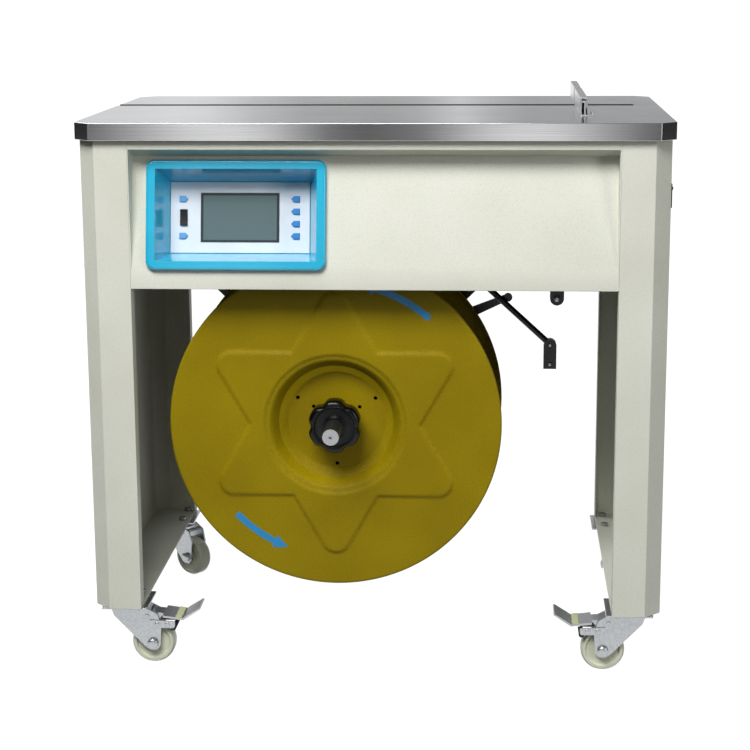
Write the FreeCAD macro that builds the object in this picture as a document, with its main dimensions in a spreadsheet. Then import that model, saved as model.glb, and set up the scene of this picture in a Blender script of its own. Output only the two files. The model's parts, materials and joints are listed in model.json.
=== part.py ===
# Semi automatic strapping machine: a table on castors with a strap reel
# below, a two part steel top with a strap slot, and the drive under the top.
# Millimetres, +Z up, +X to the operator's right, +Y away from the operator.
# The origin is on the floor under the middle of the whole machine.
import FreeCAD, Part
import os
import re
import Sketcher
from FreeCAD import Placement, Rotation, Vector

doc = FreeCAD.newDocument("strapping_machine")

# ---------------------------------------------------------------- dimensions
DIMENSIONS = [
    # table and cabinet
    ("table_length", 890, "left edge to right edge of the table top"),
    ("table_depth", 580, "front edge to rear edge of the table top"),
    ("table_height", 856, "floor to working surface"),
    ("plate_thick", 2, "table plate sheet"),
    ("skirt", 26, "turned down edge of the table plates"),
    ("corner_cut", 24, "chamfer of the table corners"),
    ("overhang", 10, "table edge beyond the cabinet, front and rear"),
    ("side_overhang", 5, "table edge beyond the cabinet, at the sides"),
    ("slot_setback", 362, "front edge to middle of the strap slot"),
    ("slot_width", 22, "strap slot"),
    ("slot_end", 40, "closed end of the slot to the right edge"),
    ("plate_gap", 1, "joint between the two plates past the slot"),
    ("hem", 8, "turned down edge along the slot"),
    ("sheet", 2, "cabinet sheet"),
    ("leg_width", 75, "front view width of a leg"),
    ("bevel", 25, "bevelled outer corner of a leg"),
    ("lip", 25, "return lip of a leg flange"),
    ("leg_bottom", 100, "floor to underside of a leg"),
    ("apron_bottom", 607, "floor to underside of the aprons"),
    ("apron_flange", 18, "inward flange of the aprons"),
    ("recess_top", 816, "upper edge of the sloping panel's recess"),
    ("recess_drop", 12, "fall of the recess's upper wall"),
    ("recess_bottom", 634, "lower edge of the sloping panel"),
    ("recess_depth", 35, "depth of the recess at its top"),
    ("bed_top", 658, "floor to top of the machine bed"),
    ("bed_inset", 30, "body front to machine bed"),
    ("bed_flange", 15, "turned down edge of the bed"),
    # stops on the table
    ("stop_x", 308, "place of the package stops"),
    ("stop_height", 28.5, "height of the stops"),
    ("front_stop_setback", 128, "front edge to front stop"),
    ("front_stop_length", 222, "length of the front stop"),
    ("rear_stop_length", 160, "length of the rear stop"),
    ("rear_stop_setback", 46, "rear edge to rear stop"),
    # control panel
    ("bezel_x", -205.5, "middle of the control panel"),
    ("bezel_drop", 2.5, "middle of the sloping panel to middle of the bezel"),
    ("bezel_width", 271, "outer width of the bezel"),
    ("bezel_height", 166, "outer height of the bezel along the slope"),
    ("bezel_proud", 9, "rim above the sloping panel"),
    ("bezel_rim", 14, "width of the rim"),
    ("bezel_corner", 14, "corner radius of the rim"),
    ("pocket_depth", 46, "sloping panel to pocket floor"),
    ("pocket_draft", 15, "lean of each pocket wall"),
    ("bezel_wall", 2, "wall of the bezel"),
    ("panel_thick", 2, "control plate"),
    ("screen_width", 120, "display"),
    ("screen_height", 75, "display"),
    ("key_width", 13, "key"),
    ("key_height", 9, "key"),
    ("key_proud", 2.4, "key above the control plate"),
    ("key_travel", 1.5, "key stroke"),
    ("right_keys_x", 84.5, "right key column from the middle"),
    ("right_keys_pitch", 18.7, "right key column"),
    ("left_keys_x", 86, "left key column from the middle"),
    ("left_keys_pitch", 56, "left key column"),
    ("fit", 0.3, "running clearance between separate bodies"),
    # power switch on the right side
    ("switch_setback", 60, "front edge to power switch"),
    ("switch_height", 745, "floor to power switch"),
    ("switch_width", 28, "surround of the power switch"),
    ("switch_tall", 36, "surround of the power switch"),
    ("rocker_tilt", 10, "power rocker at rest"),
    # reel
    ("reel_x", -63, "reel axis"),
    ("reel_z", 388, "reel axis above the floor"),
    ("reel_radius", 257, "flange radius"),
    ("reel_setback", 60, "front edge to front flange"),
    ("reel_width", 206, "over both flanges"),
    ("reel_sheet", 2, "flange sheet"),
    ("reel_rim", 10, "turned edge of a flange"),
    ("dish_radius", 105.5, "mouth of the flange dish"),
    ("dish_floor", 80, "floor of the flange dish"),
    ("dish_depth", 33, "depth of the flange dish"),
    ("star_tip", 206, "embossed star, tips"),
    ("star_notch", 133, "embossed star, notches"),
    ("star_raise", 3, "height of the embossed star"),
    ("core_radius", 110, "winding core"),
    ("core_wall", 2, "winding core"),
    ("shaft_radius", 12.5, "reel shaft"),
    ("shaft_reach", 22, "shaft end in front of the table edge"),
    ("shaft_slack", 0.1, "radial clearance on shafts and pins"),
    ("knob_radius", 41.5, "clamp knob over its lobes"),
    ("knob_thick", 35, "clamp knob"),
    ("knob_scoop", 13, "radius of the hollows in the knob's edge"),
    ("knob_boss", 25, "radius of the clamp knob's boss"),
    ("knob_stand", 62, "shaft end to knob"),
    ("drum_radius", 60, "brake drum"),
    ("drum_width", 12, "brake drum"),
    ("hanger_gap", 26, "rear flange to reel hanger"),
    ("hanger_thick", 4, "reel hanger plate"),
    ("hanger_half", 218, "half width of the hanger at its top"),
    ("hanger_foot", 40, "half width of the hanger at the shaft"),
    ("hanger_shoulder", 564, "floor to the hanger's taper"),
    ("bearing_length", 34, "reel bearing housing"),
    # strap guides and brake behind the reel
    ("dancer_x", 95, "dancer pivot"),
    ("dancer_z", 636, "dancer pivot"),
    ("dancer_run", 177, "dancer pivot to head, sideways"),
    ("dancer_fall", 162, "dancer pivot to head, down"),
    ("dancer_rod", 5, "radius of the dancer rod"),
    ("lever_x", 60, "brake lever pivot"),
    ("lever_z", 490, "brake lever pivot"),
    ("lever_thick", 5, "brake lever"),
    ("guide_x", 283, "guide roller"),
    ("guide_z", 546, "guide roller"),
    ("guide_barrel", 9, "radius of the guide roller"),
    ("guide_width", 23, "bracket of the guide roller"),
    ("pin_radius", 4, "pivot pins"),
    # castors
    ("stem_inset", 47, "body side to castor stem"),
    ("stem_setback", 48, "body front to castor stem"),
    ("castor_plate_x", 72, "castor top plate"),
    ("castor_plate_y", 84, "castor top plate"),
    ("castor_plate", 3, "castor top plate sheet"),
    ("castor_trail", 39, "stem to axle"),
    ("wheel_radius", 34, "castor wheel"),
    ("wheel_width", 24, "castor wheel"),
    ("fork_gap", 15, "half of the space between fork cheeks"),
    ("fork_sheet", 3, "fork sheet"),
    ("axle_radius", 4, "castor axle"),
    ("pedal_width", 50, "brake pedal"),
    ("pedal_height", 79, "floor to the pedal's pin"),
    ("pedal_pin", 3, "radius of the pedal's pin"),
    # drive under the table
    ("head_x", 60, "left face of the sealing head"),
    ("head_length", 200, "sealing head"),
    ("head_depth", 86, "sealing head"),
    ("cam_z", 745, "camshaft above the floor"),
    ("cam_shaft", 10, "camshaft radius"),
    ("gearbox_x", 300, "left face of the gearbox"),
    ("gearbox_length", 76, "gearbox"),
    ("gearbox_height", 122, "gearbox"),
    ("motor_setback", 490, "front edge to motor axis"),
    ("motor_z", 718, "motor axis above the floor"),
    ("motor_radius", 48, "motor"),
    ("motor_length", 140, "motor"),
    ("drive_shaft", 7, "motor and gearbox shaft radius"),
    ("pulley_x", 386, "left face of the pulleys"),
    ("pulley_width", 16, "pulleys"),
    ("motor_pulley_radius", 22, "motor pulley"),
    ("gearbox_pulley_radius", 40, "gearbox pulley"),
    ("belt_thick", 5, "drive belt"),
    ("feed_x", 10, "feed roller axis"),
    ("feed_z", 765, "feed roller axis"),
    ("feed_radius", 28, "feed roller"),
    ("pinch_radius", 20, "pinch roller"),
    ("hinge_x", 290, "hinges from the middle"),
    ("hinge_length", 70, "hinge"),
    ("hinge_drop", 6, "skirt edge to hinge axis"),
    ("hinge_radius", 4.5, "hinge barrel"),
    ("hinge_pin", 2, "hinge pin radius"),
]

sheet = doc.addObject("Spreadsheet::Sheet", "dims")
for row, (alias, value, meaning) in enumerate(DIMENSIONS, start=1):
    sheet.set("A%d" % row, meaning)
    sheet.set("B%d" % row, str(value))
    sheet.setAlias("B%d" % row, alias)
doc.recompute()
ALIASES = {alias for alias, _, _ in DIMENSIONS}

# Places worked out from the dimensions, as expressions for the document.
FRONT = "((shaft_reach - table_depth) / 2)"
BACK = "((shaft_reach + table_depth) / 2)"
BODY_X = "(table_length / 2 - side_overhang)"
BODY_FRONT = f"({FRONT} + overhang)"
BODY_BACK = f"({BACK} - overhang)"
BODY_TOP = "(table_height - plate_thick)"
SKIRT_EDGE = "(table_height - skirt)"
LEG_IN = f"({BODY_X} - leg_width)"
SLOT_Y = f"({FRONT} + slot_setback)"
REEL_FRONT = f"({FRONT} + reel_setback)"
REEL_BACK = f"({REEL_FRONT} + reel_width)"
HANGER_Y = f"({REEL_BACK} + hanger_gap)"
HANGER_BACK = f"({HANGER_Y} + hanger_thick)"
BED_UNDER = "(bed_top - sheet)"
RECESS_RISE = "(recess_top - recess_drop - recess_bottom)"
TILT = f"atan(recess_depth / {RECESS_RISE})"
AXIS_TURN = {
    "x": Rotation(Vector(0, 1, 0), 90),
    "y": Rotation(Vector(1, 0, 0), -90),
    "z": Rotation(),
}


# ------------------------------------------------------------------- helpers
def bound(expression):
    """Point every dimension's name in an expression at the sheet."""
    def qualify(match):
        word = match.group(0)
        return "dims." + word if word in ALIASES else word
    return re.sub(r"[a-z][a-z_0-9]*", qualify, str(expression))


def number(expression):
    return float(sheet.evalExpression(bound(expression)))


def bind(item, **properties):
    for name, expression in properties.items():
        item.setExpression(name, bound(expression))


def place(item, x, y, z, turn=None):
    if turn is not None:
        item.Placement = Placement(Vector(), turn)
    for axis, expression in zip("xyz", (x, y, z)):
        item.setExpression(f"Placement.Base.{axis}", bound(expression))
    return item


def block(name, x, y, z, length, width, height):
    """A box from its lowest corner."""
    item = doc.addObject("Part::Box", name)
    bind(item, Length=length, Width=width, Height=height)
    return place(item, x, y, z)


def rod(name, x, y, z, radius, length, axis="z"):
    item = doc.addObject("Part::Cylinder", name)
    bind(item, Radius=radius, Height=length)
    return place(item, x, y, z, AXIS_TURN[axis])


def joined(name, pieces):
    item = doc.addObject("Part::MultiFuse", name)
    item.Shapes = pieces
    return item


def grouped(name, pieces):
    """Several separate solids kept in one sub-part."""
    item = doc.addObject("Part::Compound", name)
    item.Links = pieces
    return item


def less(name, base, tools):
    item = doc.addObject("Part::Cut", name)
    item.Base = base
    item.Tool = tools[0] if len(tools) == 1 else joined(name + "_tools", tools)
    return item


def body(name):
    return doc.addObject("PartDesign::Body", name)


def sketch(owner, plane, loops, offset):
    """A sketch of closed loops, with every corner bound to the sheet."""
    item = owner.newObject("Sketcher::SketchObject", owner.Name + "_sketch")
    origin = [f for f in owner.Origin.OriginFeatures if f.Role == plane][0]
    item.AttachmentSupport = [(origin, "")]
    item.MapMode = "FlatFace"
    item.setExpression("AttachmentOffset.Base.z", bound(offset))
    for loop in loops:
        if loop[0] == "circle":
            add_circle(item, *loop[1:])
        else:
            add_outline(item, loop)
    return item


def hold_point(item, geometry, point, x, y):
    for kind, expression in (("DistanceX", x), ("DistanceY", y)):
        rule = Sketcher.Constraint(kind, -1, 1, geometry, point, number(expression))
        index = item.addConstraint(rule)
        item.setExpression("Constraints[%d]" % index, bound(expression))


def add_circle(item, x, y, radius):
    centre = Vector(number(x), number(y), 0)
    ring = Part.Circle(centre, Vector(0, 0, 1), number(radius))
    geometry = item.addGeometry(ring, False)
    hold_point(item, geometry, 3, x, y)
    index = item.addConstraint(Sketcher.Constraint("Radius", geometry, number(radius)))
    item.setExpression("Constraints[%d]" % index, bound(radius))


def add_outline(item, points):
    first = item.GeometryCount
    count = len(points)
    spots = [Vector(number(x), number(y), 0) for x, y in points]
    for i in range(count):
        item.addGeometry(Part.LineSegment(spots[i], spots[(i + 1) % count]), False)
    for i in range(count):
        follower = first + (i + 1) % count
        item.addConstraint(Sketcher.Constraint("Coincident", first + i, 2, follower, 1))
    for i, (x, y) in enumerate(points):
        hold_point(item, first + i, 1, x, y)


def sweep_limits(plane, start, end):
    """Offset and length of a straight sweep from start to end on its axis."""
    offset = f"-({end})" if plane == "XZ_Plane" else start
    return offset, f"(({end}) - ({start}))"


def pad(owner, plane, loops, start, end):
    offset, length = sweep_limits(plane, start, end)
    profile = sketch(owner, plane, loops, offset)
    feature = owner.newObject("PartDesign::Pad", owner.Name + "_pad")
    feature.Profile = profile
    bind(feature, Length=length)
    return feature


def pocket(owner, plane, loops, start, end):
    offset, length = sweep_limits(plane, start, end)
    profile = sketch(owner, plane, loops, offset)
    doc.recompute()
    before = owner.Shape.Volume
    feature = owner.newObject("PartDesign::Pocket", owner.Name + "_pocket")
    feature.Profile = profile
    feature.Reversed = True
    bind(feature, Length=length)
    doc.recompute()
    if owner.Shape.Volume >= before:
        raise RuntimeError("pocket cut nothing in " + owner.Name)
    return feature


def revolved(name, points):
    """A body turned about its own Z axis from (radius, height) corners."""
    owner = body(name)
    profile = sketch(owner, "XZ_Plane", [points], "0")
    feature = owner.newObject("PartDesign::Revolution", name + "_turned")
    feature.Profile = profile
    feature.ReferenceAxis = (profile, ["V_Axis"])
    feature.Angle = 360
    return owner


def polar(owner, feature, count):
    """Repeat a feature round the body's Z axis."""
    pattern = owner.newObject("PartDesign::PolarPattern", owner.Name + "_ring")
    pattern.Originals = [feature]
    axis = [f for f in owner.Origin.OriginFeatures if f.Role == "Z_Axis"][0]
    pattern.Axis = (axis, [""])
    pattern.Angle = 360
    pattern.Occurrences = count
    owner.Tip = pattern
    return pattern


def rounded(owner, feature, radius, test):
    """Fillet the edges of a body's feature that pass a test."""
    doc.recompute()
    edges = feature.Shape.Edges
    names = ["Edge%d" % (i + 1) for i, edge in enumerate(edges) if test(edge)]
    fillet = owner.newObject("PartDesign::Fillet", owner.Name + "_round")
    fillet.Base = (feature, names)
    bind(fillet, Radius=radius)
    return fillet


def upright(edge):
    """Straight and along Z."""
    box = edge.BoundBox
    return box.XLength + box.YLength < 0.01 and box.ZLength > 0.1


# ------------------------------------------------------------------- cabinet
def side_frame(name, side):
    """One leg pair: a bent sheet, open towards the middle, closed below."""
    k = "0.4142 * sheet"
    front, back = BODY_FRONT, BODY_BACK
    corner = f"({BODY_X} - bevel)"

    def mirrored(points):
        return [(f"{side} * ({x})", y) for x, y in points]

    owner = body(name)
    outer = [(LEG_IN, front), (corner, front), (BODY_X, f"{front} + bevel"),
             (BODY_X, f"{back} - bevel"), (corner, back), (LEG_IN, back)]
    inner = [(f"{LEG_IN} + sheet", f"{front} + sheet"),
             (f"{corner} - {k}", f"{front} + sheet"),
             (f"{BODY_X} - sheet", f"{front} + bevel + {k}"),
             (f"{BODY_X} - sheet", f"{back} - bevel - {k}"),
             (f"{corner} - {k}", f"{back} - sheet"),
             (f"{LEG_IN} + sheet", f"{back} - sheet"),
             (f"{LEG_IN} + sheet", f"{back} - lip"),
             (f"{LEG_IN} - 1", f"{back} - lip"),
             (f"{LEG_IN} - 1", f"{front} + lip"),
             (f"{LEG_IN} + sheet", f"{front} + lip")]
    pad(owner, "XY_Plane", [mirrored(outer)], "leg_bottom", BODY_TOP)
    pocket(owner, "XY_Plane", [mirrored(inner)], "leg_bottom + sheet", f"{BODY_TOP} + 1")
    return owner


side_frame("left_side_frame", -1)
right_shell = side_frame("right_side_shell", 1)
switch_hole = block("switch_hole", f"{BODY_X} - 10", f"{FRONT} + switch_setback - switch_width / 2 + 1.2",
                    "switch_height - switch_tall / 2 + 1.2", 20, "switch_width - 2.4", "switch_tall - 2.4")
less("right_side_frame", right_shell, [switch_hole])

apron = body("apron_sheet")
slant = f"sheet / cos({TILT})"
apron_line = [
    (f"{BODY_FRONT} + apron_flange", BODY_TOP), (BODY_FRONT, BODY_TOP),
    (BODY_FRONT, "recess_top"), (f"{BODY_FRONT} + recess_depth", "recess_top - recess_drop"),
    (BODY_FRONT, "recess_bottom"), (BODY_FRONT, "apron_bottom"),
    (f"{BODY_FRONT} + apron_flange", "apron_bottom"),
    (f"{BODY_FRONT} + apron_flange", "apron_bottom + sheet"),
    (f"{BODY_FRONT} + sheet", "apron_bottom + sheet"), (f"{BODY_FRONT} + sheet", "recess_bottom"),
    (f"{BODY_FRONT} + recess_depth + {slant}", "recess_top - recess_drop + sheet / 2"),
    (f"{BODY_FRONT} + sheet", "recess_top + sheet"), (f"{BODY_FRONT} + sheet", f"{BODY_TOP} - sheet"),
    (f"{BODY_FRONT} + apron_flange", f"{BODY_TOP} - sheet"),
]
pad(apron, "YZ_Plane", [apron_line], f"-{LEG_IN}", LEG_IN)
gusset = [(BODY_FRONT, "recess_top"), (f"{BODY_FRONT} + recess_depth", "recess_top - recess_drop"),
          (BODY_FRONT, "recess_bottom")]
pad(apron, "YZ_Plane", [gusset], f"-{LEG_IN}", f"sheet - {LEG_IN}")
pad(apron, "YZ_Plane", [gusset], f"{LEG_IN} - sheet", LEG_IN)

PANEL_Y = f"({BODY_FRONT} + recess_depth / 2 - bezel_drop * tan({TILT}))"
PANEL_Z = f"(recess_bottom + {RECESS_RISE} / 2 - bezel_drop)"


def on_panel(item, along, up, out):
    """Set an item in the sloping panel's frame: X along it, Y up it, Z out."""
    place(item, f"bezel_x + {along}",
          f"{PANEL_Y} + ({up}) * sin({TILT}) - ({out}) * cos({TILT})",
          f"{PANEL_Z} + ({up}) * cos({TILT}) + ({out}) * sin({TILT})",
          Rotation(Vector(1, 0, 0), 90 - number(TILT)))
    item.setExpression("Placement.Rotation.Angle", bound(f"90 deg - {TILT}"))
    return item


MOUTH_X = "(bezel_width - 2 * bezel_rim)"
MOUTH_Y = "(bezel_height - 2 * bezel_rim)"
opening = doc.addObject("Part::Box", "bezel_opening")
bind(opening, Length=f"{MOUTH_X} + 2 * bezel_wall + 2", Width=f"{MOUTH_Y} + 2 * bezel_wall + 2", Height=30)
on_panel(opening, f"-{MOUTH_X} / 2 - bezel_wall - 1", f"-{MOUTH_Y} / 2 - bezel_wall - 1", -15)
less("front_apron", apron, [opening])

rear = body("rear_apron_sheet")
rear_line = [
    (f"{BODY_BACK} - apron_flange", BODY_TOP), (BODY_BACK, BODY_TOP), (BODY_BACK, "apron_bottom"),
    (f"{BODY_BACK} - apron_flange", "apron_bottom"),
    (f"{BODY_BACK} - apron_flange", "apron_bottom + sheet"),
    (f"{BODY_BACK} - sheet", "apron_bottom + sheet"), (f"{BODY_BACK} - sheet", f"{BODY_TOP} - sheet"),
    (f"{BODY_BACK} - apron_flange", f"{BODY_TOP} - sheet"),
]
pad(rear, "YZ_Plane", [rear_line], f"-{LEG_IN}", LEG_IN)
GLAND_X = "280"
GLAND_Z = "650"
gland_hole = rod("gland_hole", GLAND_X, f"{BODY_BACK} - 10", GLAND_Z, 9, 20, "y")
less("rear_apron", rear, [gland_hole])
gland = joined("gland_body", [
    rod("gland_neck", GLAND_X, f"{BODY_BACK} - 16", GLAND_Z, 9, 16, "y"),
    rod("gland_collar", GLAND_X, BODY_BACK, GLAND_Z, 13, 4, "y"),
    rod("gland_nose", GLAND_X, f"{BODY_BACK} + 4", GLAND_Z, 9, 4, "y")])
less("cable_gland", gland, [rod("gland_bore", GLAND_X, f"{BODY_BACK} - 20", GLAND_Z, 4, 40, "y")])

# The bed runs from web to web and is cut away under the control pocket.
bed = body("bed_sheet")
bed_front = f"({BODY_FRONT} + bed_inset)"
bed_back = f"({BODY_BACK} - bed_inset)"
bed_line = [
    (bed_front, "bed_top"), (bed_front, f"{BED_UNDER} - bed_flange"),
    (f"{bed_front} + sheet", f"{BED_UNDER} - bed_flange"), (f"{bed_front} + sheet", BED_UNDER),
    (f"{bed_back} - sheet", BED_UNDER), (f"{bed_back} - sheet", f"{BED_UNDER} - bed_flange"),
    (bed_back, f"{BED_UNDER} - bed_flange"), (bed_back, "bed_top"),
]
pad(bed, "YZ_Plane", [bed_line], f"sheet - {BODY_X}", f"{BODY_X} - sheet")
notch = block("bed_notch", "bezel_x - bezel_width / 2 - 6", f"{bed_front} - 1", f"{BED_UNDER} - 30",
              "bezel_width + 12", "pocket_depth + 10", 60)
chute_hole = block("chute_hole", "feed_x - 15.5", f"{SLOT_Y} - 9.5", f"{BED_UNDER} - 1",
                   31, 19, "sheet + 2")
# A drop plate under the bed carries the guide roller beside the reel.
guide_plate = block("guide_plate", "guide_x - guide_width / 2", HANGER_BACK, "guide_z",
                    "guide_width", 4, f"{BED_UNDER} - guide_z")
guide_round = rod("guide_round", "guide_x", HANGER_BACK, "guide_z", "guide_width / 2", 4, "y")
guide_pin = rod("guide_pin", "guide_x", HANGER_BACK, "guide_z", "pin_radius", 36, "y")
guide_head = rod("guide_head", "guide_x", f"{HANGER_BACK} + 33", "guide_z", 7, 3, "y")
guide_bolt = rod("guide_bolt", "guide_x", f"{HANGER_BACK} - 3", "guide_z", 6, 3, "y")
cut_bed = less("cut_bed", bed, [notch, chute_hole])
joined("machine_bed", [cut_bed, guide_plate, guide_round, guide_pin, guide_head, guide_bolt])
guide_solid = joined("guide_solid", [
    rod("guide_barrel", "guide_x", f"{HANGER_BACK} + 5", "guide_z", "guide_barrel", 27, "y"),
    rod("guide_flange_a", "guide_x", f"{HANGER_BACK} + 5", "guide_z", "guide_barrel + 2", 3, "y"),
    rod("guide_flange_b", "guide_x", f"{HANGER_BACK} + 29", "guide_z", "guide_barrel + 2", 3, "y")])
less("guide_roller", guide_solid, [
    rod("guide_bore", "guide_x", HANGER_BACK, "guide_z", "pin_radius + shaft_slack", 40, "y")])


# ----------------------------------------------------------------- table top
def table_plate(name, outline, cavity, hem_box):
    owner = body(name + "_shell")
    pad(owner, "XY_Plane", [outline], SKIRT_EDGE, "table_height")
    pocket(owner, "XY_Plane", [cavity], f"{SKIRT_EDGE} - 1", BODY_TOP)
    return joined(name, [owner, block(name + "_hem", *hem_box)])


half = "(table_length / 2)"
inner_half = f"({half} - plate_thick)"
hem_start = f"sheet + fit - {BODY_X}"
cut_back = "0.4142 * plate_thick"
slot_right = f"({half} - slot_end)"
front_lip = f"({SLOT_Y} - slot_width / 2)"
front_butt = f"({SLOT_Y} - plate_gap / 2)"
rear_lip = f"({SLOT_Y} + slot_width / 2)"
rear_butt = f"({SLOT_Y} + plate_gap / 2)"
table_plate("front_table_plate", [
    (f"corner_cut - {half}", FRONT), (f"{half} - corner_cut", FRONT), (half, f"{FRONT} + corner_cut"),
    (half, front_butt), (slot_right, front_butt), (slot_right, front_lip), (f"-{half}", front_lip),
    (f"-{half}", f"{FRONT} + corner_cut")
], [
    (f"corner_cut + {cut_back} - {half}", f"{FRONT} + plate_thick"),
    (f"{half} - corner_cut - {cut_back}", f"{FRONT} + plate_thick"),
    (inner_half, f"{FRONT} + corner_cut + {cut_back}"), (inner_half, f"{front_butt} + 1"),
    (f"-{inner_half}", f"{front_butt} + 1"), (f"-{inner_half}", f"{FRONT} + corner_cut + {cut_back}")
], (hem_start, f"{front_lip} - plate_thick", f"{BODY_TOP} - hem", f"{slot_right} - ({hem_start})",
    "plate_thick", "hem"))
table_plate("rear_table_plate", [
    (f"corner_cut - {half}", BACK), (f"{half} - corner_cut", BACK), (half, f"{BACK} - corner_cut"),
    (half, rear_butt), (slot_right, rear_butt), (slot_right, rear_lip), (f"-{half}", rear_lip),
    (f"-{half}", f"{BACK} - corner_cut")
], [
    (f"corner_cut + {cut_back} - {half}", f"{BACK} - plate_thick"),
    (f"{half} - corner_cut - {cut_back}", f"{BACK} - plate_thick"),
    (inner_half, f"{BACK} - corner_cut - {cut_back}"), (inner_half, f"{rear_butt} - 1"),
    (f"-{inner_half}", f"{rear_butt} - 1"), (f"-{inner_half}", f"{BACK} - corner_cut - {cut_back}")
], (hem_start, rear_lip, f"{BODY_TOP} - hem", f"{slot_right} - ({hem_start})",
    "plate_thick", "hem"))


def package_stop(name, start, length):
    """A drawn profile on the table: base with a lip, web, hooked top edge and
    an inner wall under a shelf that leaves a closed channel beside the web."""
    outline = [(0, 0), (20, 0), (20, 4), (18, 4), (18, 2), (14.5, 2), (14.5, 10), (10.5, 10), (10.5, 2),
               (8.5, 2), (8.5, 20), (13, 20), (13, 23), (2.5, 23), (2.5, "stop_height - 3"),
               (9, "stop_height - 3"), (9, "stop_height - 5"), (11, "stop_height - 5"),
               (11, "stop_height"), (0, "stop_height")]
    channel = [(2.5, 2), (6, 2), (6, 20), (2.5, 20)]
    loops = [[(f"stop_x + {x}", f"table_height + {z}") for x, z in loop] for loop in (outline, channel)]
    return pad(body(name), "XZ_Plane", loops, start, f"{start} + {length}")


package_stop("front_stop", f"{FRONT} + front_stop_setback", "front_stop_length")
package_stop("rear_stop", f"{BACK} - rear_stop_setback - rear_stop_length", "rear_stop_length")

# Hinges between the rear apron and the lifting rear plate.
HINGE_Y = f"({BACK} - overhang / 2)"
HINGE_Z = f"({SKIRT_EDGE} - hinge_drop)"
fixed_hinges = []
moving_leaves = []
for side, x in (("left", "(-hinge_x - hinge_length / 2)"), ("right", "(hinge_x - hinge_length / 2)")):
    third = "(hinge_length / 3)"
    leaf = block(f"{side}_fixed_leaf", x, BODY_BACK, f"{HINGE_Z} - 26", "hinge_length", 1.4, 26)
    cheeks = [rod(f"{side}_knuckle_{i}", f"{x} + {2 * i} * {third}", HINGE_Y, HINGE_Z,
                  "hinge_radius", third, "x") for i in (0, 1)]
    middle_room = block(f"{side}_room", f"{x} + {third}", f"{BODY_BACK} - 1", f"{HINGE_Z} - 6",
                        third, 12, 12)
    room_leaf = less(f"{side}_notched_leaf", leaf, [middle_room])
    pin = rod(f"{side}_pin", x, HINGE_Y, HINGE_Z, "hinge_pin", "hinge_length", "x")
    fixed_hinges.append(joined(f"{side}_fixed_hinge", [room_leaf, *cheeks, pin]))
    inner = f"{x} + {third} + fit"
    span = f"{third} - 2 * fit"
    barrel = rod(f"{side}_barrel", inner, HINGE_Y, HINGE_Z, "hinge_radius", span, "x")
    riser = block(f"{side}_riser", inner, f"{BACK} - plate_thick - 2", HINGE_Z, span, 2, 28)
    hole = rod(f"{side}_barrel_hole", f"{inner} - 1", HINGE_Y, HINGE_Z,
               "hinge_pin + shaft_slack", f"{span} + 2", "x")
    moving_leaves.append(less(f"{side}_moving_leaf", joined(f"{side}_leaf_solid", [barrel, riser]), [hole]))
grouped("table_hinges", fixed_hinges)
grouped("rear_hinge_leaves", moving_leaves)


# ------------------------------------------------------------- control panel
def rectangle(width, height):
    w, v = f"({width}) / 2", f"({height}) / 2"
    return [(f"-{w}", f"-{v}"), (w, f"-{v}"), (w, v), (f"-{w}", v)]


def loft(owner, kind, low, high):
    """Loft between two rectangles given as (width, height, level)."""
    profiles = [sketch(owner, "XY_Plane", [rectangle(w, v)], level) for w, v, level in (low, high)]
    feature = owner.newObject(kind, owner.Name + "_loft")
    feature.Profile = profiles[0]
    feature.Sections = [profiles[1]]
    feature.Ruled = True
    return feature


bezel = body("panel_bezel")
rim = pad(bezel, "XY_Plane", [rectangle("bezel_width", "bezel_height")], "0", "bezel_proud")
rim = rounded(bezel, rim, "bezel_corner", upright)
rim = rounded(bezel, rim, "bezel_proud / 2", lambda e: e.BoundBox.ZMin > number("bezel_proud") - 0.01)
floor_x = f"({MOUTH_X} - 2 * pocket_draft)"
floor_y = f"({MOUTH_Y} - 2 * pocket_draft)"
loft(bezel, "PartDesign::AdditiveLoft",
     (f"{MOUTH_X} + 2 * bezel_wall", f"{MOUTH_Y} + 2 * bezel_wall", "0"),
     (f"{floor_x} + 2 * bezel_wall", f"{floor_y} + 2 * bezel_wall", "-pocket_depth - bezel_wall"))
loft(bezel, "PartDesign::SubtractiveLoft",
     (MOUTH_X, MOUTH_Y, "bezel_proud"), (floor_x, floor_y, "-pocket_depth"))
on_panel(bezel, "0", "0", "0")

PLATE_LEVEL = "(panel_thick - pocket_depth)"
RIGHT_KEYS = [("key_program_a", 1.5), ("key_program_b", 0.5),
              ("key_program_c", -0.5), ("key_program_d", -1.5)]
LEFT_KEYS = [("key_feed", 0.5), ("key_reverse", -0.5)]
KEYS = [(name, 1, "right_keys_x", f"{step} * right_keys_pitch") for name, step in RIGHT_KEYS]
KEYS += [(name, -1, "-left_keys_x", f"{step} * left_keys_pitch") for name, step in LEFT_KEYS]
ROCKER_X = "(-left_keys_x)"


def key_outline(side, x, y, spare):
    """A five sided key that points at the display."""
    w, v = f"(key_width / 2 + {spare})", f"(key_height / 2 + {spare})"
    tip = f"{x} - {side} * {w}"
    neck = f"{x} - {side} * (key_width / 2 - 4)"
    heel = f"{x} + {side} * {w}"
    return [(tip, y), (neck, f"{y} + {v}"), (heel, f"{y} + {v}"), (heel, f"{y} - {v}"),
            (neck, f"{y} - {v}")]


plate = body("control_panel")
pad(plate, "XY_Plane", [rectangle(f"{floor_x} - 2 * fit", f"{floor_y} - 2 * fit")],
    "-pocket_depth", PLATE_LEVEL)
cuts = [key_outline(side, x, y, "fit") for _, side, x, y in KEYS]
cuts.append(rectangle("screen_width + 0.2", "screen_height + 0.2"))
cuts.append([(f"{ROCKER_X} + {a} * 5.9", f"{b} * 12.6") for a, b in ((-1, -1), (1, -1), (1, 1), (-1, 1))])
pocket(plate, "XY_Plane", cuts, "-pocket_depth - 1", f"{PLATE_LEVEL} + 1")
on_panel(plate, "0", "0", "0")

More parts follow.
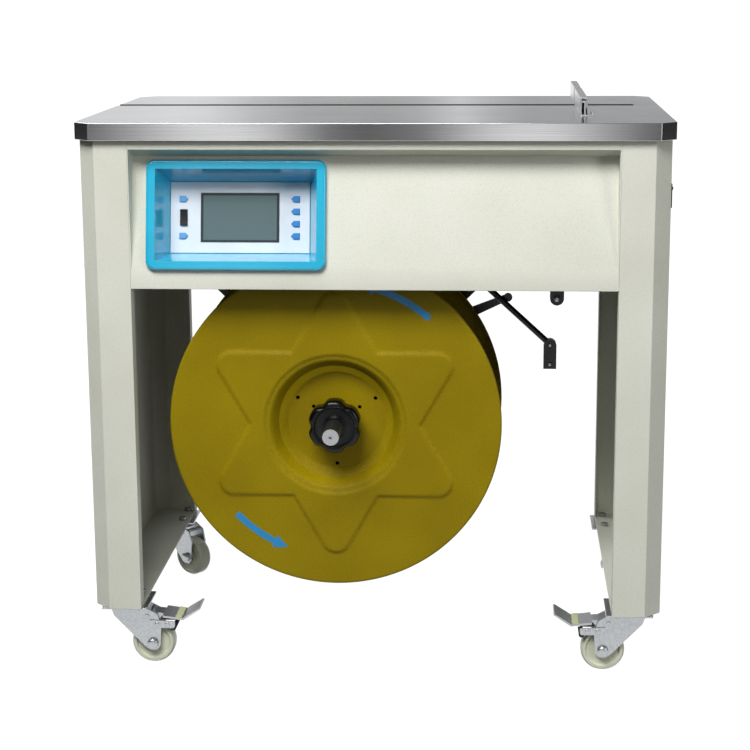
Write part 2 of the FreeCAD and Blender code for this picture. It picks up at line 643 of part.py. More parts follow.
screen = body("display_module")
pad(screen, "XY_Plane", [rectangle("screen_width", "screen_height")],
    "-pocket_depth", f"{PLATE_LEVEL} + 0.6")
on_panel(screen, "0", "0", "0")

for name, side, x, y in KEYS:
    key = body(name)
    pad(key, "XY_Plane", [key_outline(side, x, y, 0)],
        "-pocket_depth + key_travel + 0.2", f"{PLATE_LEVEL} + key_proud")
    on_panel(key, "0", "0", "0")

# A rocker whose underside is a shallow V, so that it can tip both ways.
tumbler = body("mode_switch")
pad(tumbler, "YZ_Plane", [[("-12", f"{PLATE_LEVEL} + 4"), ("-11", f"{PLATE_LEVEL} + 1.2"),
                           ("0", "0.3 - pocket_depth"), ("11", f"{PLATE_LEVEL} + 1.2"),
                           ("12", f"{PLATE_LEVEL} + 4"), ("0", f"{PLATE_LEVEL} + 2.6")]],
    f"{ROCKER_X} - 5.5", f"{ROCKER_X} + 5.5")
on_panel(tumbler, "0", "0", "0")

# Power switch in the right hand side.
SWITCH_Y = f"({FRONT} + switch_setback)"
surround = joined("surround_solid", [
    block("surround_flange", BODY_X, f"{SWITCH_Y} - switch_width / 2", "switch_height - switch_tall / 2",
          2.5, "switch_width", "switch_tall"),
    block("surround_box", f"{BODY_X} - 20", f"{SWITCH_Y} - switch_width / 2 + 1.5",
          "switch_height - switch_tall / 2 + 1.5", 20, "switch_width - 3", "switch_tall - 3")])
less("switch_surround", surround, [
    block("surround_room", f"{BODY_X} - 12", f"{SWITCH_Y} - switch_width / 2 + 3.6",
          "switch_height - switch_tall / 2 + 3.8", 20, "switch_width - 7.2", "switch_tall - 7.6")])
rocker = body("power_rocker")
rocker_line = [("4", "-13"), ("1.5", "0"), ("4", "13"), ("-1", "12"), ("-8", "0"), ("-1", "-12")]
pad(rocker, "XZ_Plane", [rocker_line],
    "4.1 - switch_width / 2", "switch_width / 2 - 4.1")
place(rocker, f"{BODY_X} - 1.5", SWITCH_Y, "switch_height",
      Rotation(Vector(0, 1, 0), number("rocker_tilt")))
rocker.setExpression("Placement.Rotation.Angle", bound("rocker_tilt"))


# ---------------------------------------------------------------------- reel
def on_reel(item, y):
    """Lay a body's Z axis along +Y on the reel axis, from y backwards."""
    return place(item, "reel_x", y, "reel_z", AXIS_TURN["y"])


bore = "(shaft_radius + shaft_slack)"
r, s = "reel_radius", "reel_sheet"


def flange_line(dish):
    return [
        (bore, dish), ("dish_floor", dish), ("dish_radius", "0"), (f"{r} - 2", "0"), (r, "2"),
        (r, "reel_rim"), (f"{r} - {s}", "reel_rim"), (f"{r} - {s}", f"{s} + 1"), (f"{r} - {s} - 1", s),
        ("dish_radius + 0.6", s), ("dish_floor + 0.6", f"{dish} + {s}"), (bore, f"{dish} + {s}")]


front_flange = revolved("reel_front_flange", flange_line("dish_depth"))
star = []
for k in range(12):
    reach = "star_tip" if k % 2 == 0 else "star_notch"
    star.append((f"{reach} * cos({30 + 30 * k})", f"{reach} * sin({30 + 30 * k})"))
raised = pad(front_flange, "XY_Plane", [star, ("circle", "0", "0", "dish_radius + 2")],
             "-star_raise", "0.5")
rounded(front_flange, raised, 14, lambda e: upright(e) and e.Vertexes[0].Point.z < 1
        and Vector(e.Vertexes[0].X, e.Vertexes[0].Y, 0).Length > 120)
hole = pocket(front_flange, "XY_Plane", [("circle", "0", "74", 3), ("circle", "0", "42.5", 3)],
              "dish_depth - 1", "dish_depth + reel_sheet + 1")
polar(front_flange, hole, 3)
on_reel(front_flange, REEL_FRONT)

rear_flange = revolved("reel_rear_flange", flange_line("dish_depth"))
place(rear_flange, "reel_x", REEL_BACK, "reel_z", Rotation(Vector(1, 0, 0), 90))

core = revolved("reel_core", [
    ("core_radius - core_wall", "0"), ("core_radius", "0"),
    ("core_radius", "reel_width - 2 * reel_sheet"),
    ("core_radius - core_wall", "reel_width - 2 * reel_sheet")])
on_reel(core, f"{REEL_FRONT} + reel_sheet")

shaft_start = f"({FRONT} - shaft_reach)"
shaft_end = f"({HANGER_BACK} + bearing_length + 12)"
shaft = joined("shaft_solid", [
    rod("shaft_bar", "reel_x", shaft_start, "reel_z", "shaft_radius", f"{shaft_end} - {shaft_start}", "y"),
    rod("shaft_collar", "reel_x", f"{HANGER_BACK} + bearing_length + 1", "reel_z", 18, 9, "y"),
    rod("shaft_seat", "reel_x", f"{REEL_BACK} - dish_depth", "reel_z", 20,
        "dish_depth + hanger_gap - drum_width - 12", "y")])
less("reel_shaft", shaft, [rod("centre_hole", "reel_x", f"{shaft_start} - 1", "reel_z", 2.5, 7, "y")])

drum = joined("drum_solid", [
    rod("drum_disc", "reel_x", f"{HANGER_Y} - drum_width - 4", "reel_z", "drum_radius", "drum_width", "y"),
    rod("drum_hub", "reel_x", f"{HANGER_Y} - drum_width - 12", "reel_z", 22, "drum_width + 10", "y")])
less("brake_drum", drum, [rod("drum_bore", "reel_x", REEL_BACK, "reel_z", "shaft_radius", 40, "y")])

# The clamp knob presses the front flange on to the core.
KNOB_Y = f"({FRONT} - shaft_reach + knob_stand)"
knob = body("clamp_knob")
pad(knob, "XY_Plane", [("circle", "0", "0", "knob_radius"), ("circle", "0", "0", bore)],
    "0", "knob_thick")
scoop = pocket(knob, "XY_Plane", [("circle", "knob_radius + knob_scoop - 5", "0", "knob_scoop")],
               "-1", "knob_thick + 1")
polar(knob, scoop, 6)
pad(knob, "XY_Plane", [("circle", "0", "0", "knob_boss"), ("circle", "0", "0", bore)],
    "knob_thick - 1", f"{REEL_FRONT} + dish_depth - fit - {KNOB_Y}")
on_reel(knob, KNOB_Y)

# The hanger plate hangs from the bed and carries the shaft's bearing.
hanger = body("hanger_plate")
x0 = "reel_x"
foot_z = "(hanger_shoulder - hanger_half + hanger_foot)"
pad(hanger, "XZ_Plane", [
    [(f"{x0} - hanger_half", BED_UNDER), (f"{x0} - hanger_half", "hanger_shoulder"),
     (f"{x0} - hanger_foot", foot_z), (f"{x0} - hanger_foot", "reel_z - 45"),
     (f"{x0} + hanger_foot", "reel_z - 45"), (f"{x0} + hanger_foot", foot_z),
     (f"{x0} + hanger_half", "hanger_shoulder"), (f"{x0} + hanger_half", BED_UNDER)],
    ("circle", x0, "reel_z", "shaft_radius + 3")], HANGER_Y, HANGER_BACK)
hanger_top = block("hanger_top", f"{x0} - hanger_half", HANGER_BACK, f"{BED_UNDER} - hanger_thick",
                   "2 * hanger_half", 30, "hanger_thick")
joined("reel_hanger", [
    hanger, hanger_top,
    rod("dancer_pin", "dancer_x", f"{REEL_BACK} + 2", "dancer_z", "pin_radius", "hanger_gap - 1", "y"),
    rod("dancer_cap", "dancer_x", f"{REEL_BACK} + 1.4", "dancer_z", 8, 2, "y"),
    rod("dancer_boss", "dancer_x", f"{REEL_BACK} + 15", "dancer_z", 10, "hanger_gap - 14", "y"),
    rod("lever_pin", "lever_x", f"{HANGER_Y} - 12", "lever_z", "pin_radius", 13, "y"),
    rod("lever_cap", "lever_x", f"{HANGER_Y} - 12", "lever_z", 7, 2, "y"),
    rod("lever_boss", "lever_x", f"{HANGER_Y} - 4", "lever_z", 9, 5, "y")])
bearing = joined("bearing_solid", [
    rod("bearing_flange", "reel_x", HANGER_BACK, "reel_z", 38, 8, "y"),
    rod("bearing_boss", "reel_x", HANGER_BACK, "reel_z", 26, "bearing_length", "y")])
less("reel_bearing", bearing, [
    rod("bearing_bore", "reel_x", f"{HANGER_BACK} - 1", "reel_z", bore, "bearing_length + 2", "y")])

# Dancer arm: a bent rod from its pivot to a block with the strap roller.
ARM_Y = f"({REEL_BACK} + 9.3)"
HEAD_X = "(dancer_x + dancer_run)"
HEAD_Z = "(dancer_z - dancer_fall)"
arm_length = "sqrt(dancer_run ^ 2 + dancer_fall ^ 2)"
arm_rod = rod("arm_rod", "dancer_x", ARM_Y, "dancer_z", "dancer_rod", arm_length)
arm_lean = "90 deg + atan(dancer_fall / dancer_run)"
arm_rod.Placement = Placement(Vector(), Rotation(Vector(0, 1, 0), number(arm_lean)))
arm_rod.setExpression("Placement.Rotation.Angle", bound(arm_lean))
place(arm_rod, "dancer_x", ARM_Y, "dancer_z")
arm = joined("arm_solid", [
    arm_rod,
    rod("arm_eye", "dancer_x", f"{ARM_Y} - 5.5", "dancer_z", 12, 11, "y"),
    rod("arm_ring", HEAD_X, f"{ARM_Y} - 6", HEAD_Z, 10, 12, "y"),
    block("arm_block", f"{HEAD_X} - 10.5", f"{ARM_Y} - 6", f"{HEAD_Z} - 40", 21, 12, 40),
    rod("roller_pin", HEAD_X, f"{ARM_Y} + 5", f"{HEAD_Z} - 28", "pin_radius", 25, "y"),
    rod("roller_cap", HEAD_X, f"{ARM_Y} + 28", f"{HEAD_Z} - 28", 6, 2, "y")])
arm_eye_hole = rod("arm_eye_hole", "dancer_x", f"{ARM_Y} - 6", "dancer_z",
                   "pin_radius + shaft_slack", 12, "y")
less("dancer_arm", arm, [arm_eye_hole])
less("dancer_roller", rod("roller_solid", HEAD_X, f"{ARM_Y} + 6.5", f"{HEAD_Z} - 28", 8, 21, "y"), [
    rod("roller_bore", HEAD_X, f"{ARM_Y} + 6", f"{HEAD_Z} - 28", "pin_radius + shaft_slack", 23, "y")])

# Brake lever: its shoe rests on the drum, its free end stands out sideways.
lever = body("lever_plate")
LEVER_Y = f"({HANGER_Y} - 4 - fit - lever_thick)"
shoe_z = "(reel_z + drum_radius + fit)"
pad(lever, "XZ_Plane", [[
    ("reel_x - 14", shoe_z), ("reel_x + 14", shoe_z), ("lever_x - 8", "lever_z - 14"),
    ("lever_x + 8", "lever_z - 10"), ("lever_x + 141", "lever_z + 54"), ("lever_x + 137", "lever_z + 64"),
    ("lever_x", "lever_z + 12"), ("reel_x + 14", f"{shoe_z} + 16"), ("reel_x - 14", f"{shoe_z} + 14")]],
    LEVER_Y, f"{LEVER_Y} + lever_thick")
lever_end = rod("lever_end", "lever_x + 143", LEVER_Y, "lever_z + 60", 7, "lever_thick", "y")
lever_hole = rod("lever_hole", "lever_x", f"{LEVER_Y} - 1", "lever_z",
                 "pin_radius + shaft_slack", "lever_thick + 2", "y")
less("brake_lever", joined("lever_solid", [lever, lever_end]), [lever_hole])


# ------------------------------------------------------------------- castors
CORNERS = [
    # name, side in X, end in Y, direction of the trail, braked
    ("front_left", -1, -1, 0, True),
    ("front_right", 1, -1, 180, True),
    ("rear_left", -1, 1, -37, False),
    ("rear_right", 1, 1, -82, False),
]
PLATE_UNDER = "(leg_bottom - castor_plate)"


def stem_x(side):
    return f"{side} * ({BODY_X} - stem_inset)"


def stem_y(end):
    return f"({BODY_FRONT} + stem_setback)" if end < 0 else f"({BODY_BACK} - stem_setback)"


def castor_fork(name):
    owner = body(name + "_cheeks")
    top = "(leg_bottom - 9)"
    cheek = [("-26", top), ("-22", f"{top} - 12"), ("castor_trail - 12", "wheel_radius - 6"),
             ("castor_trail - 4", "wheel_radius - 11"), ("castor_trail + 6", "wheel_radius - 11"),
             ("castor_trail + 12", "wheel_radius - 4"), ("castor_trail + 14", "wheel_radius + 28"),
             ("castor_trail + 8", f"{top} - 9"), ("30", top)]
    pad(owner, "XZ_Plane", [cheek], "-fork_gap - fork_sheet", "fork_gap + fork_sheet")
    pocket(owner, "XZ_Plane", [[("-60", "0"), ("120", "0"), ("120", f"{top} - fork_sheet"),
                                ("-60", f"{top} - fork_sheet")]], "-fork_gap", "fork_gap")
    shell = joined(name + "_shell", [
        owner,
        rod(name + "_race", 0, 0, f"{top} - fork_sheet", 27, "fork_sheet + 3"),
        rod(name + "_upper_race", 0, 0, top, 22, f"{PLATE_UNDER} - fit - {top}"),
        rod(name + "_axle", "castor_trail", "-fork_gap - fork_sheet - 3", "wheel_radius",
            "axle_radius", "2 * fork_gap + 2 * fork_sheet + 6", "y"),
        rod(name + "_rivet", "castor_trail - 8", "-fork_gap - fork_sheet - 1.5", "pedal_height",
            "pedal_pin", "2 * fork_gap + 2 * fork_sheet + 3", "y"),
        rod(name + "_nut_a", "castor_trail", "-fork_gap - fork_sheet - 4", "wheel_radius", 7, 4, "y"),
        rod(name + "_nut_b", "castor_trail", "fork_gap + fork_sheet", "wheel_radius", 7, 4, "y")])
    return less(name, shell, [rod(name + "_stem_hole", 0, 0, 60, "5 + shaft_slack", 60)])


def castor_wheel(name):
    w, edge = "wheel_width", "wheel_radius"
    return revolved(name, [
        ("axle_radius + shaft_slack", f"-{w} / 2 - 1.5"), ("9", f"-{w} / 2 - 1.5"), ("9", f"-{w} / 2 + 3"),
        (f"{edge} - 9", f"-{w} / 2 + 3"), (f"{edge} - 7", f"-{w} / 2"), (f"{edge} - 3", f"-{w} / 2"),
        (edge, f"-{w} / 2 + 5"), (edge, f"{w} / 2 - 5"), (f"{edge} - 3", f"{w} / 2"),
        (f"{edge} - 7", f"{w} / 2"), (f"{edge} - 9", f"{w} / 2 - 3"), ("9", f"{w} / 2 - 3"),
        ("9", f"{w} / 2 + 1.5"), ("axle_radius + shaft_slack", f"{w} / 2 + 1.5")])


def castor_pedal(name):
    """A sheet pedal on a pin between the cheeks, with the brake pad below."""
    owner = body(name + "_sheet")
    line = [("castor_trail - 8", "76"), ("castor_trail + 10", "72"), ("castor_trail + 16", "79.5"),
            ("castor_trail + 50", "75.5"), ("castor_trail + 58", "80.5"), ("castor_trail + 77.5", "93.6"),
            ("castor_trail + 75.8", "95.4"), ("castor_trail + 56", "83.2"), ("castor_trail + 49", "78.6"),
            ("castor_trail + 14", "83"), ("castor_trail - 8", "84")]
    pad(owner, "XZ_Plane", [line], "-pedal_width / 2", "pedal_width / 2")
    trims = [block(f"{name}_trim_{i}", "castor_trail - 20", y, 60, 38, 40, 40)
             for i, y in enumerate(("fork_gap - 1", "-fork_gap + 1 - 40"))]
    shaped = less(name + "_shaped", owner, trims)
    pad_block = block(name + "_pad", "castor_trail - 4", "-8", "wheel_radius * 2 + 2", 8, 16, 12)
    barrel = rod(name + "_barrel", "castor_trail - 8", "1 - fork_gap", "pedal_height", 6,
                 "2 * fork_gap - 2", "y")
    hole = rod(name + "_hole", "castor_trail - 8", "-fork_gap", "pedal_height",
               "pedal_pin + shaft_slack", "2 * fork_gap", "y")
    return less(name, joined(name + "_solid", [shaped, pad_block, barrel]), [hole])


plates = []
for corner, side, end, heading, braked in CORNERS:
    x, y = stem_x(side), stem_y(end)
    plate = block(corner + "_top_plate", f"{x} - castor_plate_x / 2", f"{y} - castor_plate_y / 2",
                  PLATE_UNDER, "castor_plate_x", "castor_plate_y", "castor_plate")
    stem = rod(corner + "_stem", x, y, f"{PLATE_UNDER} - 16", 5, 17)
    button = rod(corner + "_button", x, y, f"{PLATE_UNDER} - 16", 8, "4 - fit")
    plates.append(joined(corner + "_plate", [plate, stem, button]))
    turn = Rotation(Vector(0, 0, 1), heading)
    place(castor_fork(corner + "_fork"), x, y, "0", turn)
    wheel = castor_wheel(corner + "_wheel")
    swing = f"castor_trail * cos({heading})", f"castor_trail * sin({heading})"
    place(wheel, f"{x} + {swing[0]}", f"{y} + {swing[1]}", "wheel_radius", turn.multiply(AXIS_TURN["y"]))
    if braked:
        place(castor_pedal(corner + "_pedal"), x, y, "0", turn)
grouped("caster_plates", plates)

# Bolts through the closed leg ends into the castor plates.
bolts = []
for corner, side, end, heading, braked in CORNERS:
    for i, step in enumerate((-1, 1)):
        x = f"{stem_x(side)} + {side * -1} * 14"
        y = f"{stem_y(end)} + {step} * 30"
        bolts.append(rod(f"{corner}_bolt_{i}", x, y, "leg_bottom + sheet", 6.5, 5))
grouped("frame_screws", bolts)

# --------------------------------------------------------- drive in the body
HEAD_FRONT = f"({SLOT_Y} - head_depth / 2)"
HEAD_TOP = f"({BODY_TOP} - hem - 8)"
feed_y = f"({SLOT_Y} - 6)"
PINCH_Z = "(feed_z + feed_radius + pinch_radius + fit)"
head_parts = [block("head_base", "head_x", HEAD_FRONT, "bed_top", "head_length", "head_depth", 10)]
for i, x in enumerate(("head_x", "head_x + head_length - 12")):
    head_parts.append(block(f"head_plate_{i}", x, HEAD_FRONT, "bed_top", 12, "head_depth",
                            f"{HEAD_TOP} - bed_top"))
head_parts.append(block("head_rail", "head_x", HEAD_FRONT, f"{HEAD_TOP} - 20", "head_length", 10, 20))
head_parts.append(block("head_anvil", "head_x + 60", HEAD_FRONT, f"{HEAD_TOP} - 20", 60, "head_depth", 14))
head_parts.append(block("feed_wall", "feed_x - 45", f"{SLOT_Y} + 12", "bed_top", "head_x - feed_x + 46", 8,
                        f"{HEAD_TOP} - bed_top"))
head_parts.append(rod("feed_pin", "feed_x", f"{feed_y} - 2", "feed_z", "pin_radius + 2", 22, "y"))
head_parts.append(rod("pinch_pin", "feed_x", f"{feed_y} - 2", PINCH_Z, "pin_radius + 2", 22, "y"))
less("sealing_head", joined("head_solid", head_parts), [
    rod("cam_bore", "head_x - 1", SLOT_Y, "cam_z", "cam_shaft + shaft_slack", "head_length + 2", "x")])
for name, z, radius in (("feed_roller", "feed_z", "feed_radius"),
                        ("pinch_roller", PINCH_Z, "pinch_radius")):
    less(name, rod(name + "_tread", "feed_x", feed_y, z, radius, 16, "y"), [
        rod(name + "_bore", "feed_x", f"{feed_y} - 1", z, "pin_radius + 2 + shaft_slack", 18, "y")])
cam_parts = [rod("cam_bar", "head_x - 8", SLOT_Y, "cam_z", "cam_shaft",
                 "gearbox_x + 20 - head_x + 8", "x")]
for i in range(5):
    cam_parts.append(rod(f"cam_{i}", f"head_x + 24 + {32 * i}", f"{SLOT_Y} + {(-1) ** i * 4}",
                         "cam_z", 24, 10, "x"))
joined("camshaft", cam_parts)
block("slide_plate", "head_x + 60", f"{HEAD_FRONT} + 12", f"{HEAD_TOP} - 6 + fit", 60, "head_depth - 24", 5)
chute = block("chute_solid", "feed_x - 15", f"{SLOT_Y} - 9", "bed_top - 60", 30, 18,
              "feed_z - feed_radius - bed_top + 52")
chute_flange = block("chute_flange", "feed_x - 24", f"{SLOT_Y} - 20", "bed_top", 48, 30, 2)
less("strap_chute", joined("chute_joined", [chute, chute_flange]), [
    block("chute_bore", "feed_x - 9", f"{SLOT_Y} - 4", "bed_top - 70", 18, 8, 200)])

gear_y = f"({SLOT_Y} - 40)"
GEAR_Z = "(bed_top + 47)"
gear_case = joined("gear_case", [
    block("case", "gearbox_x", gear_y, "bed_top", "gearbox_length", 80, "gearbox_height"),
    block("case_foot", "gearbox_x - 8", f"{gear_y} - 8", "bed_top", "gearbox_length + 8", 96, 8),
    rod("case_boss", "gearbox_x - 6", SLOT_Y, "cam_z", 22, 8, "x"),
    rod("case_shaft", "gearbox_x + gearbox_length - 1", SLOT_Y, GEAR_Z, "drive_shaft", 28, "x")])
less("gearbox", gear_case, [
    rod("case_bore", "gearbox_x - 7", SLOT_Y, "cam_z", "cam_shaft + shaft_slack", 30, "x")])
MOTOR_Y = f"({FRONT} + motor_setback)"
motor_x = "(gearbox_x + gearbox_length - motor_length - 4)"
joined("drive_motor", [
    rod("motor_can", motor_x, MOTOR_Y, "motor_z", "motor_radius", "motor_length", "x"),
    rod("motor_nose", f"{motor_x} + motor_length - 1", MOTOR_Y, "motor_z", 20, 4, "x"),
    rod("motor_shaft", f"{motor_x} + motor_length", MOTOR_Y, "motor_z", "drive_shaft", 32, "x"),
    block("motor_foot", f"{motor_x} + 20", f"{MOTOR_Y} - 36", "bed_top", "motor_length - 40", 72,
          "motor_z - bed_top"),
    block("motor_box", f"{motor_x} + 35", f"{MOTOR_Y} - 22", "motor_z + motor_radius - 6", 70, 44, 22)])
for name, y, z, radius in (("motor_pulley", MOTOR_Y, "motor_z", "motor_pulley_radius"),
                           ("gearbox_pulley", SLOT_Y, GEAR_Z, "gearbox_pulley_radius")):
    less(name, rod(name + "_disc", "pulley_x", y, z, radius, "pulley_width", "x"), [
        rod(name + "_bore", "pulley_x - 1", y, z, "drive_shaft + shaft_slack", "pulley_width + 2", "x")])


def belt_loop(grow):
    """Two discs and the open strip between their outer tangents, along X."""
    near = Vector(0, number(MOTOR_Y), number("motor_z"))
    far = Vector(0, number(SLOT_Y), number(GEAR_Z))
    r_near = number("motor_pulley_radius + fit") + grow
    r_far = number("gearbox_pulley_radius + fit") + grow
    line = (far - near).normalize()
    across = Vector(1, 0, 0).cross(line)
    distance = near.distanceToPoint(far)
    lean = (r_near - r_far) / distance
    rise = (1 - lean ** 2) ** 0.5
    corners = []
    for centre, radius, turn in ((near, r_near, 1), (far, r_far, 1), (far, r_far, -1), (near, r_near, -1)):
        corners.append(centre + line * (lean * radius) + across * (turn * rise * radius))
    strip = Part.Face(Part.makePolygon(corners + corners[:1]))
    discs = [Part.Face(Part.Wire(Part.makeCircle(radius, centre, Vector(1, 0, 0))))
             for centre, radius in ((near, r_near), (far, r_far))]
    width = Vector(number("pulley_width - 2"), 0, 0)
    solids = [face.extrude(width) for face in [strip, *discs]]
    return solids[0].fuse(solids[1:])


belt = doc.addObject("Part::Feature", "drive_belt")
belt.Shape = belt_loop(number("belt_thick")).cut(belt_loop(0)).removeSplitter()
belt.Placement = Placement(Vector(number("pulley_x + 1"), 0, 0), Rotation())

joined("transformer", [
    block("transformer_core", -200, f"{BODY_BACK} - 150", "bed_top", 90, 76, 78),
    block("transformer_coil", -188, f"{BODY_BACK} - 162", "bed_top + 14", 66, 100, 50),
    block("transformer_foot", -208, f"{BODY_BACK} - 150", "bed_top", 106, 76, 3)])

# -------------------------------------------------------------------- export
NODES = [
    "left_side_frame", "right_side_frame", "front_apron", "rear_apron", "machine_bed",
    "front_table_plate", "front_stop", "panel_bezel", "control_panel", "display_module",
    "reel_hanger", "reel_bearing", "drive_motor", "gearbox", "drive_belt", "sealing_head",
    "strap_chute", "transformer", "switch_surround", "cable_gland", "caster_plates",
    "frame_screws", "table_hinges", "rear_table_plate", "rear_stop", "rear_hinge_leaves",
    "reel_shaft", "reel_rear_flange", "reel_core", "reel_front_flange", "brake_drum",
    "clamp_knob", "dancer_arm", "dancer_roller", "brake_lever", "guide_roller", "mode_switch",
    "power_rocker", "motor_pulley", "gearbox_pulley", "camshaft", "feed_roller", "pinch_roller",
    "slide_plate",
]
NODES += [name for name, _, _, _ in KEYS]
for corner, side, end, heading, braked in CORNERS:
    NODES += [corner + "_fork", corner + "_wheel"]
    if braked:
        NODES.append(corner + "_pedal")

doc.recompute()
failed = []
for item in doc.Objects:
    if "Invalid" in item.State or "Error" in item.State:
        failed.append("%s %s" % (item.Name, item.State))
if failed:
    raise RuntimeError("failed: " + ", ".join(failed))
os.makedirs("parts", exist_ok=True)
for name in NODES:
    item = doc.getObject(name)
    item.Label = name
    shape = item.Shape
    if shape.isNull() or not shape.isValid() or not shape.Solids:
        raise RuntimeError("bad shape: " + name)
    shape.exportStep("parts/%s.step" % name)
print("nodes", len(NODES))
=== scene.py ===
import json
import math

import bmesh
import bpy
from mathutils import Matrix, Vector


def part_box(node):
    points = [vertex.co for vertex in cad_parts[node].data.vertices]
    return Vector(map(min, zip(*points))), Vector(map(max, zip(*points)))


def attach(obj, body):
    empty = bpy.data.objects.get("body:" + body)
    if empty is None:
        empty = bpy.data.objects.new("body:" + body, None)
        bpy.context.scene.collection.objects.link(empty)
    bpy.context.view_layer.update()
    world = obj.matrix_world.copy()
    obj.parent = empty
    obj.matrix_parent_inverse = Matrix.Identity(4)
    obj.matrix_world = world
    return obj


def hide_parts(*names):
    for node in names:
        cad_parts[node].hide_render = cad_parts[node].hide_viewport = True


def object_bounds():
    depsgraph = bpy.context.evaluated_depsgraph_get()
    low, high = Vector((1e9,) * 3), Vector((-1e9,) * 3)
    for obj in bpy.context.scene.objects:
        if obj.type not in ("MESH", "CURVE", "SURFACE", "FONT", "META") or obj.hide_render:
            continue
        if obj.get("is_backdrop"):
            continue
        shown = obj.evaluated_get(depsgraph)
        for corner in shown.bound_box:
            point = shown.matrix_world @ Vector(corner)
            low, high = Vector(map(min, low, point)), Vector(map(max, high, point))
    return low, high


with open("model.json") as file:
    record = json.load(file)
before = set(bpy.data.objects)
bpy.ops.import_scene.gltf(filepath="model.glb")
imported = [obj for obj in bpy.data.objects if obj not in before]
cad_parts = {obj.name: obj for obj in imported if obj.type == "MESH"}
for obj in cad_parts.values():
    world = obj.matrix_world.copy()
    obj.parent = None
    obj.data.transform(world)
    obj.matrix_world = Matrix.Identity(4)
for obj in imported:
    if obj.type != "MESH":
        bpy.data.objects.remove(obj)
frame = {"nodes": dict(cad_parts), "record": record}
# %% [markdown]
# # A semi automatic strapping machine
# The machine is a painted sheet steel cabinet on castors. A brushed steel table lies on top,
# and a reel for plastic strap hangs between the legs. The engineering model gives every part
# its size and place. This lesson gives each part the surface that its maker gives it, and adds
# the small pieces that the engineering model leaves out.

MM = 0.001
cad_low, cad_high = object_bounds()
record = frame["record"]
BODY_OF = {node: name for name, nodes in record["behaviour"]["bodies"].items() for node in nodes}
SLOT_OF = {part["node"]: part["material_slot"] for part in record["subparts"]}
print("model box, mm:", [round((high - low) / MM, 1) for low, high in zip(cad_low, cad_high)])


def middle(node):
    """The middle of an engineering part's box."""
    low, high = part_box(node)
    return (low + high) / 2


# %% [markdown]
# ## Finishes
# Every finish starts from what the real surface is: paint baked on sheet, steel drawn through
# an abrasive belt, moulded plastic, zinc from a plating bath. One helper adds a node with its
# settings and links, one turns a colour code into linear light, and one lays out the ramp that
# most patterns end in. Patterns are sized in millimetres on the part itself.

# %% Helpers for finishes
def linear(code):
    """An sRGB hex code as linear red, green, blue and full alpha."""
    parts = [int(code[i:i + 2], 16) / 255 for i in (0, 2, 4)]
    return [p / 12.92 if p <= 0.04045 else ((p + 0.055) / 1.055) ** 2.4 for p in parts] + [1.0]


def add(tree, kind, inputs=None, **settings):
    """Add a node, set it up, and link or fill its inputs."""
    node = tree.nodes.new(kind)
    for name, value in settings.items():
        setattr(node, name, value)
    for name, value in (inputs or {}).items():
        socket = node.inputs[name]
        if isinstance(value, bpy.types.NodeSocket):
            tree.links.new(value, socket)
        else:
            socket.default_value = value
    return node


def ramp(tree, factor, stops):
    """A colour ramp through (position, hex code) stops."""
    node = add(tree, "ShaderNodeValToRGB", {"Fac": factor})
    elements = node.color_ramp.elements
    while len(elements) < len(stops):
        elements.new(0.5)
    for element, (position, code) in zip(elements, stops):
        element.position = position
        element.color = linear(code)
    return node.outputs["Color"]


def finish(name, code, **settings):
    """A material with its shader set up; returns material, tree, shader and object coordinates."""
    material = bpy.data.materials.new(name)
    material.use_nodes = True
    material.diffuse_color = linear(code)
    tree = material.node_tree
    shader = tree.nodes["Principled BSDF"]
    shader.inputs["Base Color"].default_value = linear(code)
    for key, value in settings.items():
        shader.inputs[key.replace("_", " ")].default_value = value
    place = add(tree, "ShaderNodeTexCoord").outputs["Object"]
    return material, tree, shader, place


def noise(tree, place, size_mm, detail=2.0, stretch=(1, 1, 1)):
    """A noise whose blobs are about size_mm across."""
    scale = [1000 / (size_mm * s) for s in stretch]
    spread = add(tree, "ShaderNodeMapping", {"Vector": place, "Scale": scale}).outputs["Vector"]
    pattern = {"Vector": spread, "Scale": 1.0, "Detail": detail}
    return add(tree, "ShaderNodeTexNoise", pattern).outputs["Fac"]


def math_node(tree, operation, first, second=0.0):
    """One sum on numbers; some, such as ABSOLUTE, read only the first."""
    return add(tree, "ShaderNodeMath", {0: first, 1: second}, operation=operation).outputs[0]


def stretched(tree, value, low, high):
    """Map low to 0 and high to 1, and hold at both ends."""
    node = add(tree, "ShaderNodeMapRange", {"Value": value, "From Min": low, "From Max": high})
    return node.outputs["Result"]


def plain(tree, code):
    """One flat colour."""
    node = add(tree, "ShaderNodeRGB")
    node.outputs[0].default_value = linear(code)
    return node.outputs[0]


def relief(tree, shader, height, depth_mm, strength=0.5, under=None):
    """Turn a pattern into bumps of a given depth."""
    inputs = {"Height": height, "Distance": depth_mm * MM, "Strength": strength}
    if under is not None:
        inputs["Normal"] = under
    bump = add(tree, "ShaderNodeBump", inputs)
    tree.links.new(bump.outputs["Normal"], shader.inputs["Normal"])
    return bump.outputs["Normal"]


def vary(tree, shader, socket, factor, low, high):
    """Let a pattern drive a number of the shader between two values."""
    spread = add(tree, "ShaderNodeMapRange", {"Value": factor, "To Min": low, "To Max": high})
    tree.links.new(spread.outputs["Result"], shader.inputs[socket])


# %% [markdown]
# ### Powder coat on the cabinet
# Powder is sprayed on dry and melted in an oven, which leaves a fine orange peel that breaks
# up every highlight. The colour is a warm light grey with a trace of green. The bumps are
# drawn at 1.6 mm, coarser than real ones, so that they still show from a few metres away.

# %% Cabinet paint
FINISH = {}


